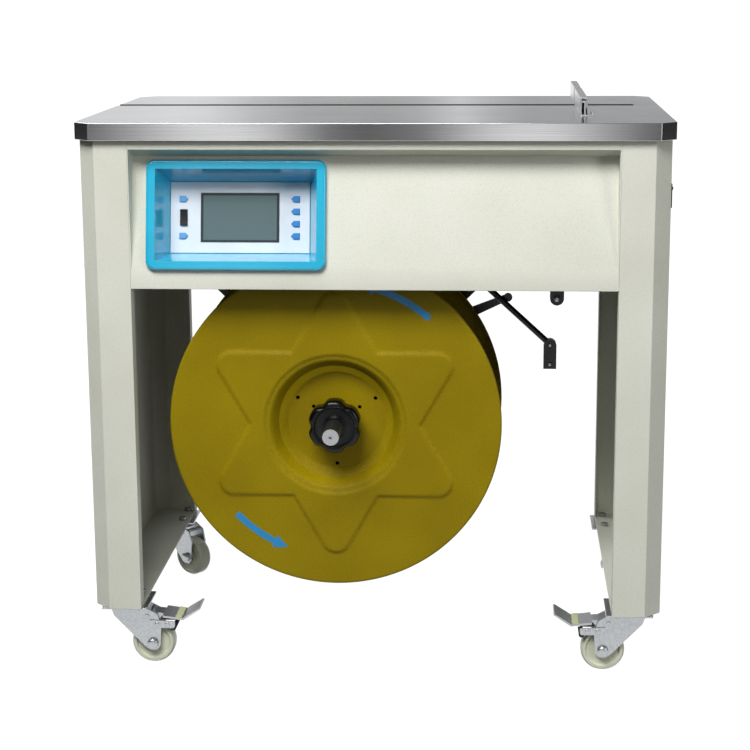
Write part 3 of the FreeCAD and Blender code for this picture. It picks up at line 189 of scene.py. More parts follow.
def powder_coat():
    material, tree, shader, place = finish("powder_coat_stone", "D9DACD", Roughness=0.5)
    peel = noise(tree, place, 1.6, detail=3)
    drift = noise(tree, place, 170, detail=2)
    colour = ramp(tree, drift, [(0.3, "D3D4C6"), (0.7, "DEDFD3")])
    fleck = ramp(tree, peel, [(0.36, "C9CABC"), (0.52, "FFFFFF")])
    mixed = add(tree, "ShaderNodeMix", data_type="RGBA", blend_type="MULTIPLY")
    mixed.inputs[0].default_value = 0.25
    tree.links.new(colour, mixed.inputs[6])
    tree.links.new(fleck, mixed.inputs[7])
    tree.links.new(mixed.outputs[2], shader.inputs["Base Color"])
    relief(tree, shader, peel, 0.25, strength=0.45)
    vary(tree, shader, "Roughness", peel, 0.42, 0.6)
    return material


FINISH["cabinet_paint"] = powder_coat()
print("made", FINISH["cabinet_paint"].name)

# %% [markdown]
# ### Steel and other bare metals
# Stainless sheet is brushed by a belt that runs along it, so the scratches are long in one
# direction and a highlight spreads across them. The pattern is a noise stretched along X.
# Zinc plating is duller and slightly mottled, a drawn aluminium stop is paler, and a ground
# shaft is even in every direction. A metal's colour is the colour of its reflection.

# %% Metals
def brushed(name, code, roughness, run=(220, 1, 1), line_mm=0.7, depth=0.012, spread=0.6):
    material, tree, shader, place = finish(name, code, Metallic=1.0, Roughness=roughness)
    shader.inputs["Anisotropic"].default_value = spread
    shader.inputs["Anisotropic Rotation"].default_value = 0.25
    along = add(tree, "ShaderNodeCombineXYZ", {"X": float(run[0] > 1), "Y": float(run[1] > 1),
                                               "Z": float(run[2] > 1)}).outputs[0]
    tree.links.new(along, shader.inputs["Tangent"])
    lines = noise(tree, place, line_mm, detail=4, stretch=run)
    cloud = noise(tree, place, 90, detail=2)
    light = "%02X%02X%02X" % tuple(min(255, int(code[i:i + 2], 16) + 16) for i in (0, 2, 4))
    colour = ramp(tree, lines, [(0.3, code), (0.7, light)])
    tree.links.new(colour, shader.inputs["Base Color"])
    vary(tree, shader, "Roughness", cloud, roughness * 0.85, roughness * 1.2)
    relief(tree, shader, lines, depth, strength=0.5)
    return material


def plated(name, code, roughness, grain_mm=2.5, shade=0.82):
    material, tree, shader, place = finish(name, code, Metallic=0.95, Roughness=roughness)
    spots = noise(tree, place, grain_mm, detail=3)
    dark = "%02X%02X%02X" % tuple(int(int(code[i:i + 2], 16) * shade) for i in (0, 2, 4))
    tree.links.new(ramp(tree, spots, [(0.32, dark), (0.62, code)]), shader.inputs["Base Color"])
    vary(tree, shader, "Roughness", spots, roughness * 0.8, roughness * 1.25)
    relief(tree, shader, spots, 0.05, strength=0.3)
    return material


FINISH["table_steel"] = brushed("stainless_sheet_belt_brushed", "BEBEBF", 0.155, depth=0.006, spread=0.8)
FINISH["stop_steel"] = brushed("aluminium_profile_drawn", "C9CACB", 0.3, run=(1, 200, 1), line_mm=0.9)
FINISH["bed_zinc"] = plated("sheet_steel_zinc_plated", "AEB1B4", 0.42, 6)
FINISH["castor_zinc"] = plated("pressed_steel_bright_zinc", "B6B9BC", 0.33, 2.5, shade=0.9)
FINISH["shaft_chrome"] = brushed("steel_bar_ground", "B6B7BA", 0.28, run=(1, 1, 60), line_mm=0.5,
                                 depth=0.006, spread=0.0)
FINISH["chute_steel"] = brushed("sheet_steel_rolled", "A9ABAD", 0.34, run=(1, 1, 80))
FINISH["pulley_alloy"] = brushed("aluminium_turned", "C2C4C7", 0.3, run=(1, 40, 40), line_mm=0.8)
print("metals:", sorted(name for name in FINISH if name != "cabinet_paint"))


# %% [markdown]
# ### Hammer finish on the reel
# Hammer paint pulls itself into small flat dimples as it dries. The reel is mustard yellow,
# with olive in the hollows. A cell pattern gives the dimples, and a fine noise gives the
# sandy look of the pressed sheet below it.

# %% Reel paint
def hammer_paint():
    material, tree, shader, place = finish("hammer_paint_mustard", "8E7A00", Roughness=0.55,
                                            Specular_IOR_Level=0.12)
    spread = add(tree, "ShaderNodeMapping", {"Vector": place, "Scale": (1, 1, 1)}).outputs["Vector"]
    cells = add(tree, "ShaderNodeTexVoronoi", {"Vector": spread, "Scale": 1000 / 3.2, "Randomness": 0.9},
                feature="SMOOTH_F1").outputs["Distance"]
    sand = noise(tree, place, 1.5, detail=3)
    cloud = noise(tree, place, 120, detail=3)
    base = ramp(tree, cloud, [(0.3, "907C00"), (0.7, "9C8800")])
    tint = ramp(tree, sand, [(0.34, "A89C60"), (0.56, "FFFFFF")])
    mixed = add(tree, "ShaderNodeMix", data_type="RGBA", blend_type="MULTIPLY")
    mixed.inputs[0].default_value = 0.55
    tree.links.new(base, mixed.inputs[6])
    tree.links.new(tint, mixed.inputs[7])
    tree.links.new(mixed.outputs[2], shader.inputs["Base Color"])
    under = relief(tree, shader, cells, 0.35, strength=0.45)
    relief(tree, shader, sand, 0.2, strength=0.4, under=under)
    vary(tree, shader, "Roughness", sand, 0.48, 0.66)
    return material


FINISH["reel_yellow"] = hammer_paint()


# %% [markdown]
# ### Plastics, rubber and black paint
# Moulded plastic copies its steel mould. A polished mould gives the glossy blue bezel, and a
# spark eroded one gives the fine grain of keys, knobs and the control plate. Nylon wheels are
# cream and slightly waxy. All of them share one recipe with their own grain and gloss.

# %% Moulded parts
def moulded(name, code, roughness, grain_mm=0.8, depth=0.04, shift=10, **settings):
    material, tree, shader, place = finish(name, code, Roughness=roughness, **settings)
    shader.inputs["IOR"].default_value = 1.5
    grain = noise(tree, place, grain_mm, detail=3)
    cloud = noise(tree, place, 60, detail=2)
    dark = "%02X%02X%02X" % tuple(max(0, int(code[i:i + 2], 16) - shift) for i in (0, 2, 4))
    tree.links.new(ramp(tree, cloud, [(0.3, dark), (0.7, code)]), shader.inputs["Base Color"])
    relief(tree, shader, grain, depth, strength=0.35)
    vary(tree, shader, "Roughness", grain, roughness * 0.85, roughness * 1.15)
    return material


FINISH["bezel_blue"] = moulded("abs_blue_polished", "21B2D6", 0.16, grain_mm=9, depth=0.05,
                               Coat_Weight=0.4, Coat_Roughness=0.08)
FINISH["panel_white"] = moulded("polycarbonate_foil_white", "DDE3EA", 0.38)
FINISH["key_blue"] = moulded("key_cap_blue", "1B84C9", 0.4)
FINISH["key_pale"] = moulded("key_cap_pale_blue", "5C9FD8", 0.4)
FINISH["switch_black"] = moulded("switch_nylon_black", "131314", 0.5, Specular_IOR_Level=0.3)
FINISH["knob_black"] = moulded("phenolic_black", "090A0B", 0.26, grain_mm=1.6, Specular_IOR_Level=0.25)
FINISH["black_paint"] = moulded("enamel_black", "141516", 0.34, grain_mm=1.8, depth=0.08)
FINISH["roller_nylon"] = moulded("nylon_turned_white", "E4E4DC", 0.4)
FINISH["wheel_nylon"] = moulded("nylon_cream", "D6D9C2", 0.36, grain_mm=2.0)
FINISH["belt_rubber"] = moulded("belt_rubber", "161616", 0.7)
FINISH["roller_rubber"] = moulded("roller_rubber", "2A2A2A", 0.75)
FINISH["cast_grey"] = moulded("cast_iron_machined", "74777B", 0.45, grain_mm=1.4, depth=0.12, Metallic=0.7)
FINISH["transformer_iron"] = moulded("varnished_laminations", "4A3B2C", 0.5, grain_mm=1.0)
FINISH["decal_blue"] = moulded("vinyl_decal_blue", "1686C2", 0.35, shift=4)
FINISH["pad_cream"] = moulded("pedal_insert_cream", "C3C79E", 0.5)
# Black for the strips that paint the shade inside the strap slot.
FINISH["slot_painted_shade"] = moulded("slot_painted_shade_black", "0A0A0A", 0.6, shift=2)
print("finishes:", len(FINISH))


# %% [markdown]
# ### The display
# A liquid crystal display that shows nothing is grey green with a dark edge where its seal
# lies. The edge follows the part's own box, so the pattern is measured from its middle.

# %% Display glass
def display_glass():
    material, tree, shader, place = finish("lcd_glass_grey_green", "5E7274", Roughness=0.22)
    centre = middle("display_module")
    low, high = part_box("display_module")
    seal, blur = 4 * MM, 0.4 * MM
    moved = add(tree, "ShaderNodeVectorMath", {0: place, 1: tuple(centre)}, operation="SUBTRACT").outputs[0]
    parts = add(tree, "ShaderNodeSeparateXYZ", {0: moved}).outputs
    sides = []
    for axis, reach in (("X", (high.x - low.x) / 2), ("Z", (high.z - low.z) / 2)):
        size = math_node(tree, "ABSOLUTE", parts[axis])
        sides.append(math_node(tree, "SUBTRACT", size, reach - seal))
    band = stretched(tree, math_node(tree, "MAXIMUM", sides[0], sides[1]), -blur, blur)
    tree.links.new(ramp(tree, band, [(0, "586B6D"), (1, "2E3739")]), shader.inputs["Base Color"])
    dots = noise(tree, place, 1.2)
    relief(tree, shader, dots, 0.01, strength=0.2)
    return material


FINISH["display_glass"] = display_glass()
for node, piece in frame["nodes"].items():
    piece.data.materials.clear()
    piece.data.materials.append(FINISH[SLOT_OF[node]])
print("carried over parts painted:", len(frame["nodes"]))

# %% [markdown]
# ## Bent sheet has round edges
# Folded sheet steel turns each corner on a small radius, and that radius catches the light.
# The engineering parts have sharp corners, so each visible one is copied, its triangles are
# merged back into faces, and its corners are bevelled by the radius of its bend.

# %% A helper that turns a mesh into a finished piece
def give(name, mesh, body, replaced=()):
    """Link a mesh as a piece that rides on a body."""
    piece = bpy.data.objects.new(name, mesh)
    bpy.context.scene.collection.objects.link(piece)
    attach(piece, body)
    if replaced:
        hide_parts(*replaced)
    return piece


def smooth(mesh, angle=35):
    """Smooth shading that stays crisp where two faces meet at a corner."""
    work = bmesh.new()
    work.from_mesh(mesh)
    for face in work.faces:
        face.smooth = True
    for edge in work.edges:
        turn = edge.calc_face_angle(0.0) if len(edge.link_faces) == 2 else 0.0
        edge.smooth = turn < math.radians(angle)
    work.to_mesh(mesh)
    work.free()
    return mesh


def softened(node, radius_mm, segments=3, name=None):
    """Copy an engineering part, merge it and round its corners."""
    source = frame["nodes"][node]
    work = bmesh.new()
    work.from_mesh(source.data)
    bmesh.ops.remove_doubles(work, verts=work.verts, dist=1e-6)
    bmesh.ops.dissolve_limit(work, angle_limit=math.radians(1), verts=work.verts, edges=work.edges)
    corners = [e for e in work.edges if len(e.link_faces) == 2 and e.calc_face_angle(0) > math.radians(25)]
    bmesh.ops.bevel(work, geom=corners, offset=radius_mm * MM, segments=segments, profile=0.5,
                    affect="EDGES", clamp_overlap=True)
    bmesh.ops.triangulate(work, faces=[f for f in work.faces if len(f.verts) > 4])
    mesh = bpy.data.meshes.new(name or node + "_finished")
    work.to_mesh(mesh)
    work.free()
    smooth(mesh, 50)
    mesh.materials.append(FINISH[SLOT_OF[node]])
    piece = give(name or node + "_finished", mesh, BODY_OF[node], [node])
    weight = piece.modifiers.new("weights", "WEIGHTED_NORMAL")
    weight.keep_sharp = True
    return piece


# %% Round the visible corners
CORNER_RADII = {
    "left_side_frame": 0.9, "right_side_frame": 0.9, "front_apron": 0.9, "rear_apron": 0.9,
    "front_table_plate": 0.8, "rear_table_plate": 0.8, "front_stop": 0.5, "rear_stop": 0.5,
    "control_panel": 0.2, "key_program_a": 0.8, "key_program_b": 0.8, "key_program_c": 0.8,
    "key_program_d": 0.8, "key_feed": 0.8, "key_reverse": 0.8, "mode_switch": 0.6,
    "power_rocker": 0.8, "switch_surround": 0.7, "brake_lever": 0.8, "dancer_arm": 0.7,
    "reel_hanger": 0.8, "front_left_pedal": 0.8, "front_right_pedal": 0.8, "caster_plates": 0.6,
    "front_left_fork": 0.7, "front_right_fork": 0.7, "rear_left_fork": 0.7, "rear_right_fork": 0.7,
}
for node, radius in CORNER_RADII.items():
    softened(node, radius)
print("parts with rounded corners:", len(CORNER_RADII))

# %% [markdown]
# ## The reel's front flange
# The flange is pressed from one disc of sheet: a deep dish in the middle, a six pointed star
# around it, and a turned rim. Its height above the disc is a rule of the distance from the
# centre and from the star's outline, so the mesh is a polar grid whose points take their
# height from that rule, and its back is a copy one sheet thickness behind.

# %% The rule of the pressing
rim_low, rim_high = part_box("reel_front_flange")
REEL = Vector((middle("reel_front_flange").x, 0, middle("reel_front_flange").z))
REEL_RADIUS = (rim_high.x - rim_low.x) / 2
STAR_RAISE = 3 * MM
DISC_Y = rim_low.y + STAR_RAISE
SHAFT = 12.6 * MM
SHEET = 2 * MM
RIM_BEND, RIM_DEPTH, FILL_EDGE = 3 * MM, 10 * MM, 1.5 * MM
DISH_MOUTH, DISH_FLOOR, DISH_BEND = 103 * MM, 78 * MM, 1.5 * MM
DISH_DEPTH = rim_high.y - rim_low.y - STAR_RAISE - SHEET
STAR_TIP, STAR_NOTCH, STAR_ROUND, STAR_SLOPE = 228 * MM, 131 * MM, 22 * MM, 7.5 * MM
print("dish depth, mm:", round(DISH_DEPTH / MM, 2))


def ease(low, high, value):
    """Ease from 0 below low to 1 above high."""
    t = max(0.0, min(1.0, (value - low) / (high - low)))
    return t * t * (3 - 2 * t)


def star_distance(radius, angle):
    """How far a point lies inside the star's rounded outline; negative outside."""
    wedge = math.radians(60)
    turn = (angle - math.radians(30) + wedge / 2) % wedge - wedge / 2
    x, y = radius * math.cos(turn), radius * abs(math.sin(turn))
    tip = Vector((STAR_TIP, 0))
    notch = Vector((STAR_NOTCH * math.cos(wedge / 2), STAR_NOTCH * math.sin(wedge / 2)))
    along = (notch - tip).normalized()
    normal = Vector((along.y, -along.x))
    if normal.x < 0:
        normal = -normal
    edge = -(Vector((x, y)) - tip).dot(normal)
    reach = STAR_ROUND / max(normal.x, 0.2)
    cap_centre = STAR_TIP - reach
    past = (Vector((x, y)) - Vector((cap_centre, 0)))
    if past.dot(along) < 0 and x > cap_centre:
        return STAR_ROUND - past.length
    return edge


def flange_height(radius, angle):
    """Distance of the flange's face behind the flat disc."""
    dish = DISH_DEPTH * (1 - ease(DISH_FLOOR - DISH_BEND, DISH_MOUTH + DISH_BEND, radius))
    inside = star_distance(radius, angle)
    star = STAR_RAISE * ease(-STAR_SLOPE * 0.5, STAR_SLOPE * 0.5, inside)
    star *= ease(DISH_MOUTH + 2 * MM, DISH_MOUTH + 10 * MM, radius)
    return dish - star


# %% The flange's mesh
def ring_of(work, radius, depth, turns=360, centre=(0.0, 0.0)):
    """A ring of points about the reel's axis, or about a place beside it."""
    loop = []
    for i in range(turns):
        angle = math.tau * i / turns
        y = flange_height(radius, angle) if depth is None else depth
        loop.append(work.verts.new((REEL.x + centre[0] + radius * math.cos(angle), DISC_Y + y,
                                    REEL.z + centre[1] + radius * math.sin(angle))))
    return loop


def bridge(work, first, second):
    """Faces between two rings of equal count."""
    count = len(first)
    for i in range(count):
        j = (i + 1) % count
        work.faces.new((first[i], first[j], second[j], second[i]))


def fill_between(work, loops):
    """Fill a flat face that is bounded by several rings."""
    edges = []
    for loop in loops:
        for a, b in zip(loop, loop[1:] + loop[:1]):
            edges.append(work.edges.get((a, b)) or work.edges.new((a, b)))
    bmesh.ops.triangle_fill(work, use_beauty=True, edges=edges)


def flange_mesh(name):
    bottom = DISH_FLOOR - DISH_BEND
    slope = [bottom + (DISH_MOUTH - DISH_FLOOR + 2 * DISH_BEND) * i / 14 for i in range(15)]
    outer = [DISH_MOUTH + 4 * MM + (REEL_RADIUS - 8 * MM - DISH_MOUTH) * i / 90 for i in range(91)]
    rings = [(radius, None) for radius in [bottom - FILL_EDGE] + slope + outer]
    for step in range(1, 6):
        bend = math.radians(90 * step / 5)
        rings.append((REEL_RADIUS - RIM_BEND + RIM_BEND * math.sin(bend), RIM_BEND * (1 - math.cos(bend))))
    rings += [(REEL_RADIUS, RIM_DEPTH), (REEL_RADIUS - SHEET, RIM_DEPTH), (REEL_RADIUS - SHEET, RIM_BEND),
              (REEL_RADIUS - RIM_BEND, SHEET), (DISH_MOUTH + 1 * MM, SHEET),
              (bottom - FILL_EDGE, DISH_DEPTH + SHEET)]
    work = bmesh.new()
    loops = [ring_of(work, radius, depth) for radius, depth in rings]
    for first, second in zip(loops, loops[1:]):
        bridge(work, first, second)
    faces = {depth: [loop] for depth, loop in ((DISH_DEPTH, loops[0]), (DISH_DEPTH + SHEET, loops[-1]))}
    holes = [(SHAFT, 72, (0.0, 0.0))]
    for k in range(3):
        angle = math.radians(30 + 120 * k)
        for reach in (70 * MM, 41.5 * MM):
            holes.append((3 * MM, 20, (reach * math.cos(angle), reach * math.sin(angle))))
    for radius, turns, centre in holes:
        pair = [ring_of(work, radius, depth, turns, centre) for depth in faces]
        bridge(work, *pair)
        for depth, loop in zip(faces, pair):
            faces[depth].append(loop)
    for rim in faces.values():
        fill_between(work, rim)
    bmesh.ops.recalc_face_normals(work, faces=work.faces)
    mesh = bpy.data.meshes.new(name)
    work.to_mesh(mesh)
    open_edges = sum(1 for edge in work.edges if len(edge.link_faces) != 2)
    work.free()
    print(name, "rings:", len(rings), "faces:", len(mesh.polygons), "open edges:", open_edges)
    return smooth(mesh, 50)


flange = flange_mesh("reel_front_flange_pressed")
flange.materials.append(FINISH["reel_yellow"])
give("reel_front_flange_pressed", flange, "reel", ["reel_front_flange"])


# %% [markdown]
# ## Turning arrows
# Two thin vinyl arrows on the flange show which way the reel turns. Each is a curved band that
# follows a circle and ends in a wide head. It lies a tenth of a millimetre above the paint, so
# it takes its height from the same rule as the flange.

# %% Arrow decals
def arrow_decal(name, radius, start, end, width, head_width, head_turn):
    """A band from start to end, in degrees, with its head beyond the end."""
    work = bmesh.new()
    steps = 40
    rows = []
    for i in range(steps + 1):
        turn = start + (end - start) * i / steps
        rows.append((turn, width / 2))
    for i in range(13):
        turn = end + head_turn * i / 12
        rows.append((turn, head_width / 2 * (1 - i / 12) + 0.1 * MM))
    strips = []
    for turn, half in rows:
        angle = math.radians(turn)
        strip = []
        for side in (-1, -0.5, 0, 0.5, 1):
            r = radius + side * half
            y = DISC_Y + flange_height(r, angle)
            strip.append([(REEL.x + r * math.cos(angle), y - lift, REEL.z + r * math.sin(angle))
                          for lift in (0.15 * MM, 0.02 * MM)])
        strips.append(strip)
    tops = [[work.verts.new(point[0]) for point in strip] for strip in strips]
    lows = [[work.verts.new(point[1]) for point in strip] for strip in strips]
    for i in range(len(tops) - 1):
        for j in range(4):
            work.faces.new((tops[i][j], tops[i][j + 1], tops[i + 1][j + 1], tops[i + 1][j]))
            work.faces.new((lows[i][j + 1], lows[i][j], lows[i + 1][j], lows[i + 1][j + 1]))
        for j, flip in ((0, False), (4, True)):
            quad = (tops[i][j], tops[i + 1][j], lows[i + 1][j], lows[i][j])
            work.faces.new(tuple(reversed(quad)) if flip else quad)
    for i in (0, len(tops) - 1):
        for j in range(4):
            work.faces.new((tops[i][j], lows[i][j], lows[i][j + 1], tops[i][j + 1]))
    bmesh.ops.recalc_face_normals(work, faces=work.faces)
    mesh = bpy.data.meshes.new(name)
    work.to_mesh(mesh)
    work.free()
    mesh.materials.append(FINISH["decal_blue"])
    return give(name, mesh, "reel")


arrow_decal("arrow_lower", 212 * MM, 223, 243, 10.5 * MM, 21 * MM, 6)
arrow_decal("arrow_upper", 222 * MM, 49, 74, 10.5 * MM, 21 * MM, 6)
print("decals on the flange: 2")

# %% [markdown]
# ## The clamp knob
# A lobed knob is a turned boss whose edge is cut by six hollows. Its outline is a circle whose
# radius dips six times a turn, and its side profile is domed, so the knob is one grid of
# outline against profile.

# %% Clamp knob
def clamp_knob():
    low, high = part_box("clamp_knob")
    lobes, turns = 6, 216
    radius = (high.z - low.z) / 2
    front = low.y
    length = (high.y - low.y) / MM
    profile = [(0.31, 3.0), (0.38, 3.0), (0.42, 2.2), (0.5, 2.2), (0.66, 3.4), (0.72, 3.2), (0.76, 0.6),
               (0.8, 0.0), (0.88, 0.3), (0.95, 2.2), (0.985, 4.5), (1.0, 8.0), (1.0, 26.0), (0.97, 31.0),
               (0.9, 34.5), (0.62, 35.0), (0.58, 35.2), (0.56, length - 0.2), (0.31, length)]
    work = bmesh.new()
    loops = []
    for share, depth in profile:
        loop = []
        for i in range(turns):
            angle = math.tau * i / turns
            wave = math.cos(lobes * (angle - math.radians(30)))
            dip = 0.115 * (0.5 - 0.5 * wave) ** 3 * ease(0.72, 0.95, share)
            r = max(radius * share * (1 - dip), SHAFT)
            loop.append(work.verts.new((REEL.x + r * math.cos(angle), front + depth * MM,
                                        REEL.z + r * math.sin(angle))))
        loops.append(loop)
    for a, b in zip(loops, loops[1:] + loops[:1]):
        for i in range(turns):
            j = (i + 1) % turns
            work.faces.new((a[i], a[j], b[j], b[i]))
    bmesh.ops.recalc_face_normals(work, faces=work.faces)
    mesh = bpy.data.meshes.new("clamp_knob_moulded")
    work.to_mesh(mesh)
    work.free()
    smooth(mesh, 48)
    mesh.materials.append(FINISH["knob_black"])
    return give("clamp_knob_moulded", mesh, "knob", ["clamp_knob"])


print(clamp_knob().name)

# %% [markdown]
# ## Screws, rivets and balls by Geometry Nodes
# One tree puts the same small part on every point of a mesh and turns it to face along the
# point's normal. The points are the places of the screws, and the small part is a low dome
# with a cross recess. Realized and applied, all screws of one body become one plain mesh.

# %% A screw head
def screw_head(name, radius, height, sides=24, recess=True, finish_name="castor_zinc"):
    """A domed head along +Z, with a cross shaped recess or plain like a rivet."""
    work = bmesh.new()
    if recess:
        profile = [(1.0, 0.0), (1.0, 0.25), (0.93, 0.6), (0.72, 0.9), (0.42, 1.0)]
    else:
        profile = [(1.0, 0.0), (0.97, 0.35), (0.85, 0.68), (0.62, 0.9), (0.32, 1.0)]
    loops = []
    for share, rise in profile:
        loops.append([work.verts.new((radius * share * math.cos(math.tau * i / sides),
                                      radius * share * math.sin(math.tau * i / sides), height * rise))
                      for i in range(sides)])
    for a, b in zip(loops, loops[1:]):
        for i in range(sides):
            j = (i + 1) % sides
            work.faces.new((a[i], a[j], b[j], b[i]))
    if recess:
        dip = []
        for i in range(sides):
            angle = math.tau * i / sides
            arm = max(abs(math.cos(2 * angle)), 0.0)
            r = radius * 0.42 * (0.35 + 0.62 * arm ** 3)
            dip.append(work.verts.new((r * math.cos(angle), r * math.sin(angle), height * 0.98)))
        floor = [work.verts.new((v.co.x * 0.7, v.co.y * 0.7, height * 0.35)) for v in dip]
        for a, b in ((loops[-1], dip), (dip, floor)):
            for i in range(sides):
                j = (i + 1) % sides
                work.faces.new((a[i], a[j], b[j], b[i]))
        work.faces.new(floor)
    else:
        work.faces.new(loops[-1])
    work.faces.new(list(reversed(loops[0])))
    mesh = bpy.data.meshes.new(name)
    work.to_mesh(mesh)
    work.free()
    smooth(mesh, 40)
    mesh.materials.append(FINISH[finish_name])
    shape = bpy.data.objects.new(name, mesh)
    bpy.context.scene.collection.objects.link(shape)
    return shape


# %% The tree that sets a part on points
def scatter_tree(name):
    """Instances of one object on a mesh's points, turned by a direction and a spin."""
    tree = bpy.data.node_groups.new(name, "GeometryNodeTree")
    face = tree.interface
    face.new_socket("Points", in_out="INPUT", socket_type="NodeSocketGeometry")
    face.new_socket("Part", in_out="INPUT", socket_type="NodeSocketObject")
    face.new_socket("Direction", in_out="INPUT", socket_type="NodeSocketVector")
    face.new_socket("Size", in_out="INPUT", socket_type="NodeSocketFloat")
    face.new_socket("Spin", in_out="INPUT", socket_type="NodeSocketFloat")
    face.new_socket("Finish", in_out="INPUT", socket_type="NodeSocketMaterial")
    face.new_socket("Pieces", in_out="OUTPUT", socket_type="NodeSocketGeometry")
    given = add(tree, "NodeGroupInput").outputs
    part = add(tree, "GeometryNodeObjectInfo", {"Object": given["Part"]}).outputs["Geometry"]
    turn = add(tree, "FunctionNodeAlignRotationToVector", {"Vector": given["Direction"]}, axis="Z")
    chance = add(tree, "FunctionNodeRandomValue", {"Seed": 7}, data_type="FLOAT")
    tree.links.new(given["Spin"], chance.inputs[3])
    spin = add(tree, "ShaderNodeCombineXYZ", {"Z": chance.outputs[1]}).outputs[0]
    turned = add(tree, "FunctionNodeRotateRotation", {0: turn.outputs[0], 1: spin}, rotation_space="LOCAL")
    placed = add(tree, "GeometryNodeInstanceOnPoints",
                 {"Points": given["Points"], "Instance": part, "Rotation": turned.outputs[0]})
    tree.links.new(given["Size"], placed.inputs["Scale"])
    real = add(tree, "GeometryNodeRealizeInstances", {"Geometry": placed.outputs[0]})
    paint = {"Geometry": real.outputs[0], "Material": given["Finish"]}
    painted = add(tree, "GeometryNodeSetMaterial", paint)
    add(tree, "NodeGroupOutput", {"Pieces": painted.outputs[0]})
    return tree


SCATTER = scatter_tree("part_on_points")
FULL_SPIN = 6.28


def run_tree(tree, source, values):
    """Run a node tree on an object and return the result as a plain mesh."""
    modifier = source.modifiers.new("tree", "NODES")
    modifier.node_group = tree
    for item in tree.interface.items_tree:
        if item.in_out == "INPUT" and item.name in values:
            modifier[item.identifier] = values[item.name]
    bpy.context.view_layer.update()
    graph = bpy.context.evaluated_depsgraph_get()
    mesh = bpy.data.meshes.new_from_object(source.evaluated_get(graph))
    source.modifiers.remove(modifier)
    return mesh


def set_on_points(name, points, direction, part, body, size=1.0):
    """All zinc plated copies of one small part on a body, as one piece."""
    mesh = bpy.data.meshes.new(name + "_points")
    mesh.from_pydata([tuple(p) for p in points], [], [])
    holder = bpy.data.objects.new(name + "_points", mesh)
    bpy.context.scene.collection.objects.link(holder)
    values = {"Part": part, "Direction": direction, "Size": size, "Spin": FULL_SPIN,
              "Finish": FINISH["castor_zinc"]}
    result = run_tree(SCATTER, holder, values)
    bpy.data.objects.remove(holder)
    result.name = name
    print(name, "copies:", len(points), "faces:", len(result.polygons))
    return give(name, result, body)


# %% Where the screws sit
pan = screw_head("pan_head", 3.6 * MM, 2.2 * MM)
dome = screw_head("dome_head", 5.2 * MM, 1.8 * MM, recess=False)
small = screw_head("small_head", 1.7 * MM, 0.9 * MM)

rear_low, rear_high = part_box("rear_apron")
rear_points = [(x, rear_high.y, z) for x in (rear_low.x + 14 * MM, -0.12, 0.12, rear_high.x - 14 * MM)
               for z in (rear_low.z + 18 * MM, rear_high.z - 60 * MM)]
set_on_points("rear_apron_screws", rear_points, (0, 1, 0), pan, "frame")

hinge_points = []
for side in (-1, 1):
    for offset in (-27, 27):
        hinge_points.append((side * 290 * MM + offset * MM, rear_high.y + 1.4 * MM, 0.806))
set_on_points("hinge_screws", hinge_points, (0, 1, 0), small, "frame", size=1.6)

SIDE_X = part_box("right_side_frame")[1].x
for side, label in ((-1, "left"), (1, "right")):
    points = [(side * SIDE_X, y, z) for y in (-0.21, -0.01, 0.23) for z in (0.13, 0.60)]
    set_on_points(label + "_side_screws", points, (side, 0, 0), pan, "frame")

for node, body in (("front_stop", "frame"), ("rear_stop", "rear_table")):
    low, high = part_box(node)
    points = [(low.x + 11 * MM, low.y + (high.y - low.y) * share, low.z + 2 * MM) for share in (0.14, 0.86)]
    set_on_points(node + "_screws", points, (0, 0, 1), pan, body, size=0.9)

low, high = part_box("dancer_arm")
head = [(high.x - 10.5 * MM, low.y + 0.2 * MM, low.z + rise * MM) for rise in (8, 40)]
set_on_points("dancer_head_screws", head, (0, -1, 0), pan, "dancer", size=0.9)

guide = middle("guide_roller")
bolt_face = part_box("guide_roller")[0].y - 8 * MM
set_on_points("guide_screw", [(guide.x, bolt_face, guide.z)], (0, -1, 0), pan, "frame", size=1.3)


# %% [markdown]
# ## Castor details
# The braked castors carry two riveted arms beside the wheel, each with a rubber stop, and the
# pedal has a cream insert in front of its turned up tip. Plain outlines are drawn in the
# castor's own frame, with X along its trail, and are turned to the castor's heading.

# %% Castor pieces
def slab(name, outline, start, stop, place, turn, finish_name):
    """An outline in X and Z given a thickness along Y, then turned and moved."""
    work = bmesh.new()
    sides = [[work.verts.new((x * MM, y * MM, z * MM)) for x, z in outline] for y in (start, stop)]
    work.faces.new(sides[0])
    work.faces.new(list(reversed(sides[1])))
    bridge(work, *sides)
    bmesh.ops.recalc_face_normals(work, faces=work.faces)
    bmesh.ops.bevel(work, geom=work.edges[:], offset=0.4 * MM, segments=2, affect="EDGES",
                    clamp_overlap=True)
    moved = Matrix.Translation(place) @ Matrix.Rotation(turn, 4, "Z")
    bmesh.ops.transform(work, matrix=moved, verts=work.verts)
    mesh = bpy.data.meshes.new(name)
    work.to_mesh(mesh)
    work.free()
    mesh.materials.append(FINISH[finish_name])
    return smooth(mesh, 40)


JOINTS = {joint["name"]: joint for joint in record["behaviour"]["joints"]}


def joint_place(name):
    """Where an engineering joint's axis passes."""
    return Vector(JOINTS[name]["pos_m"])


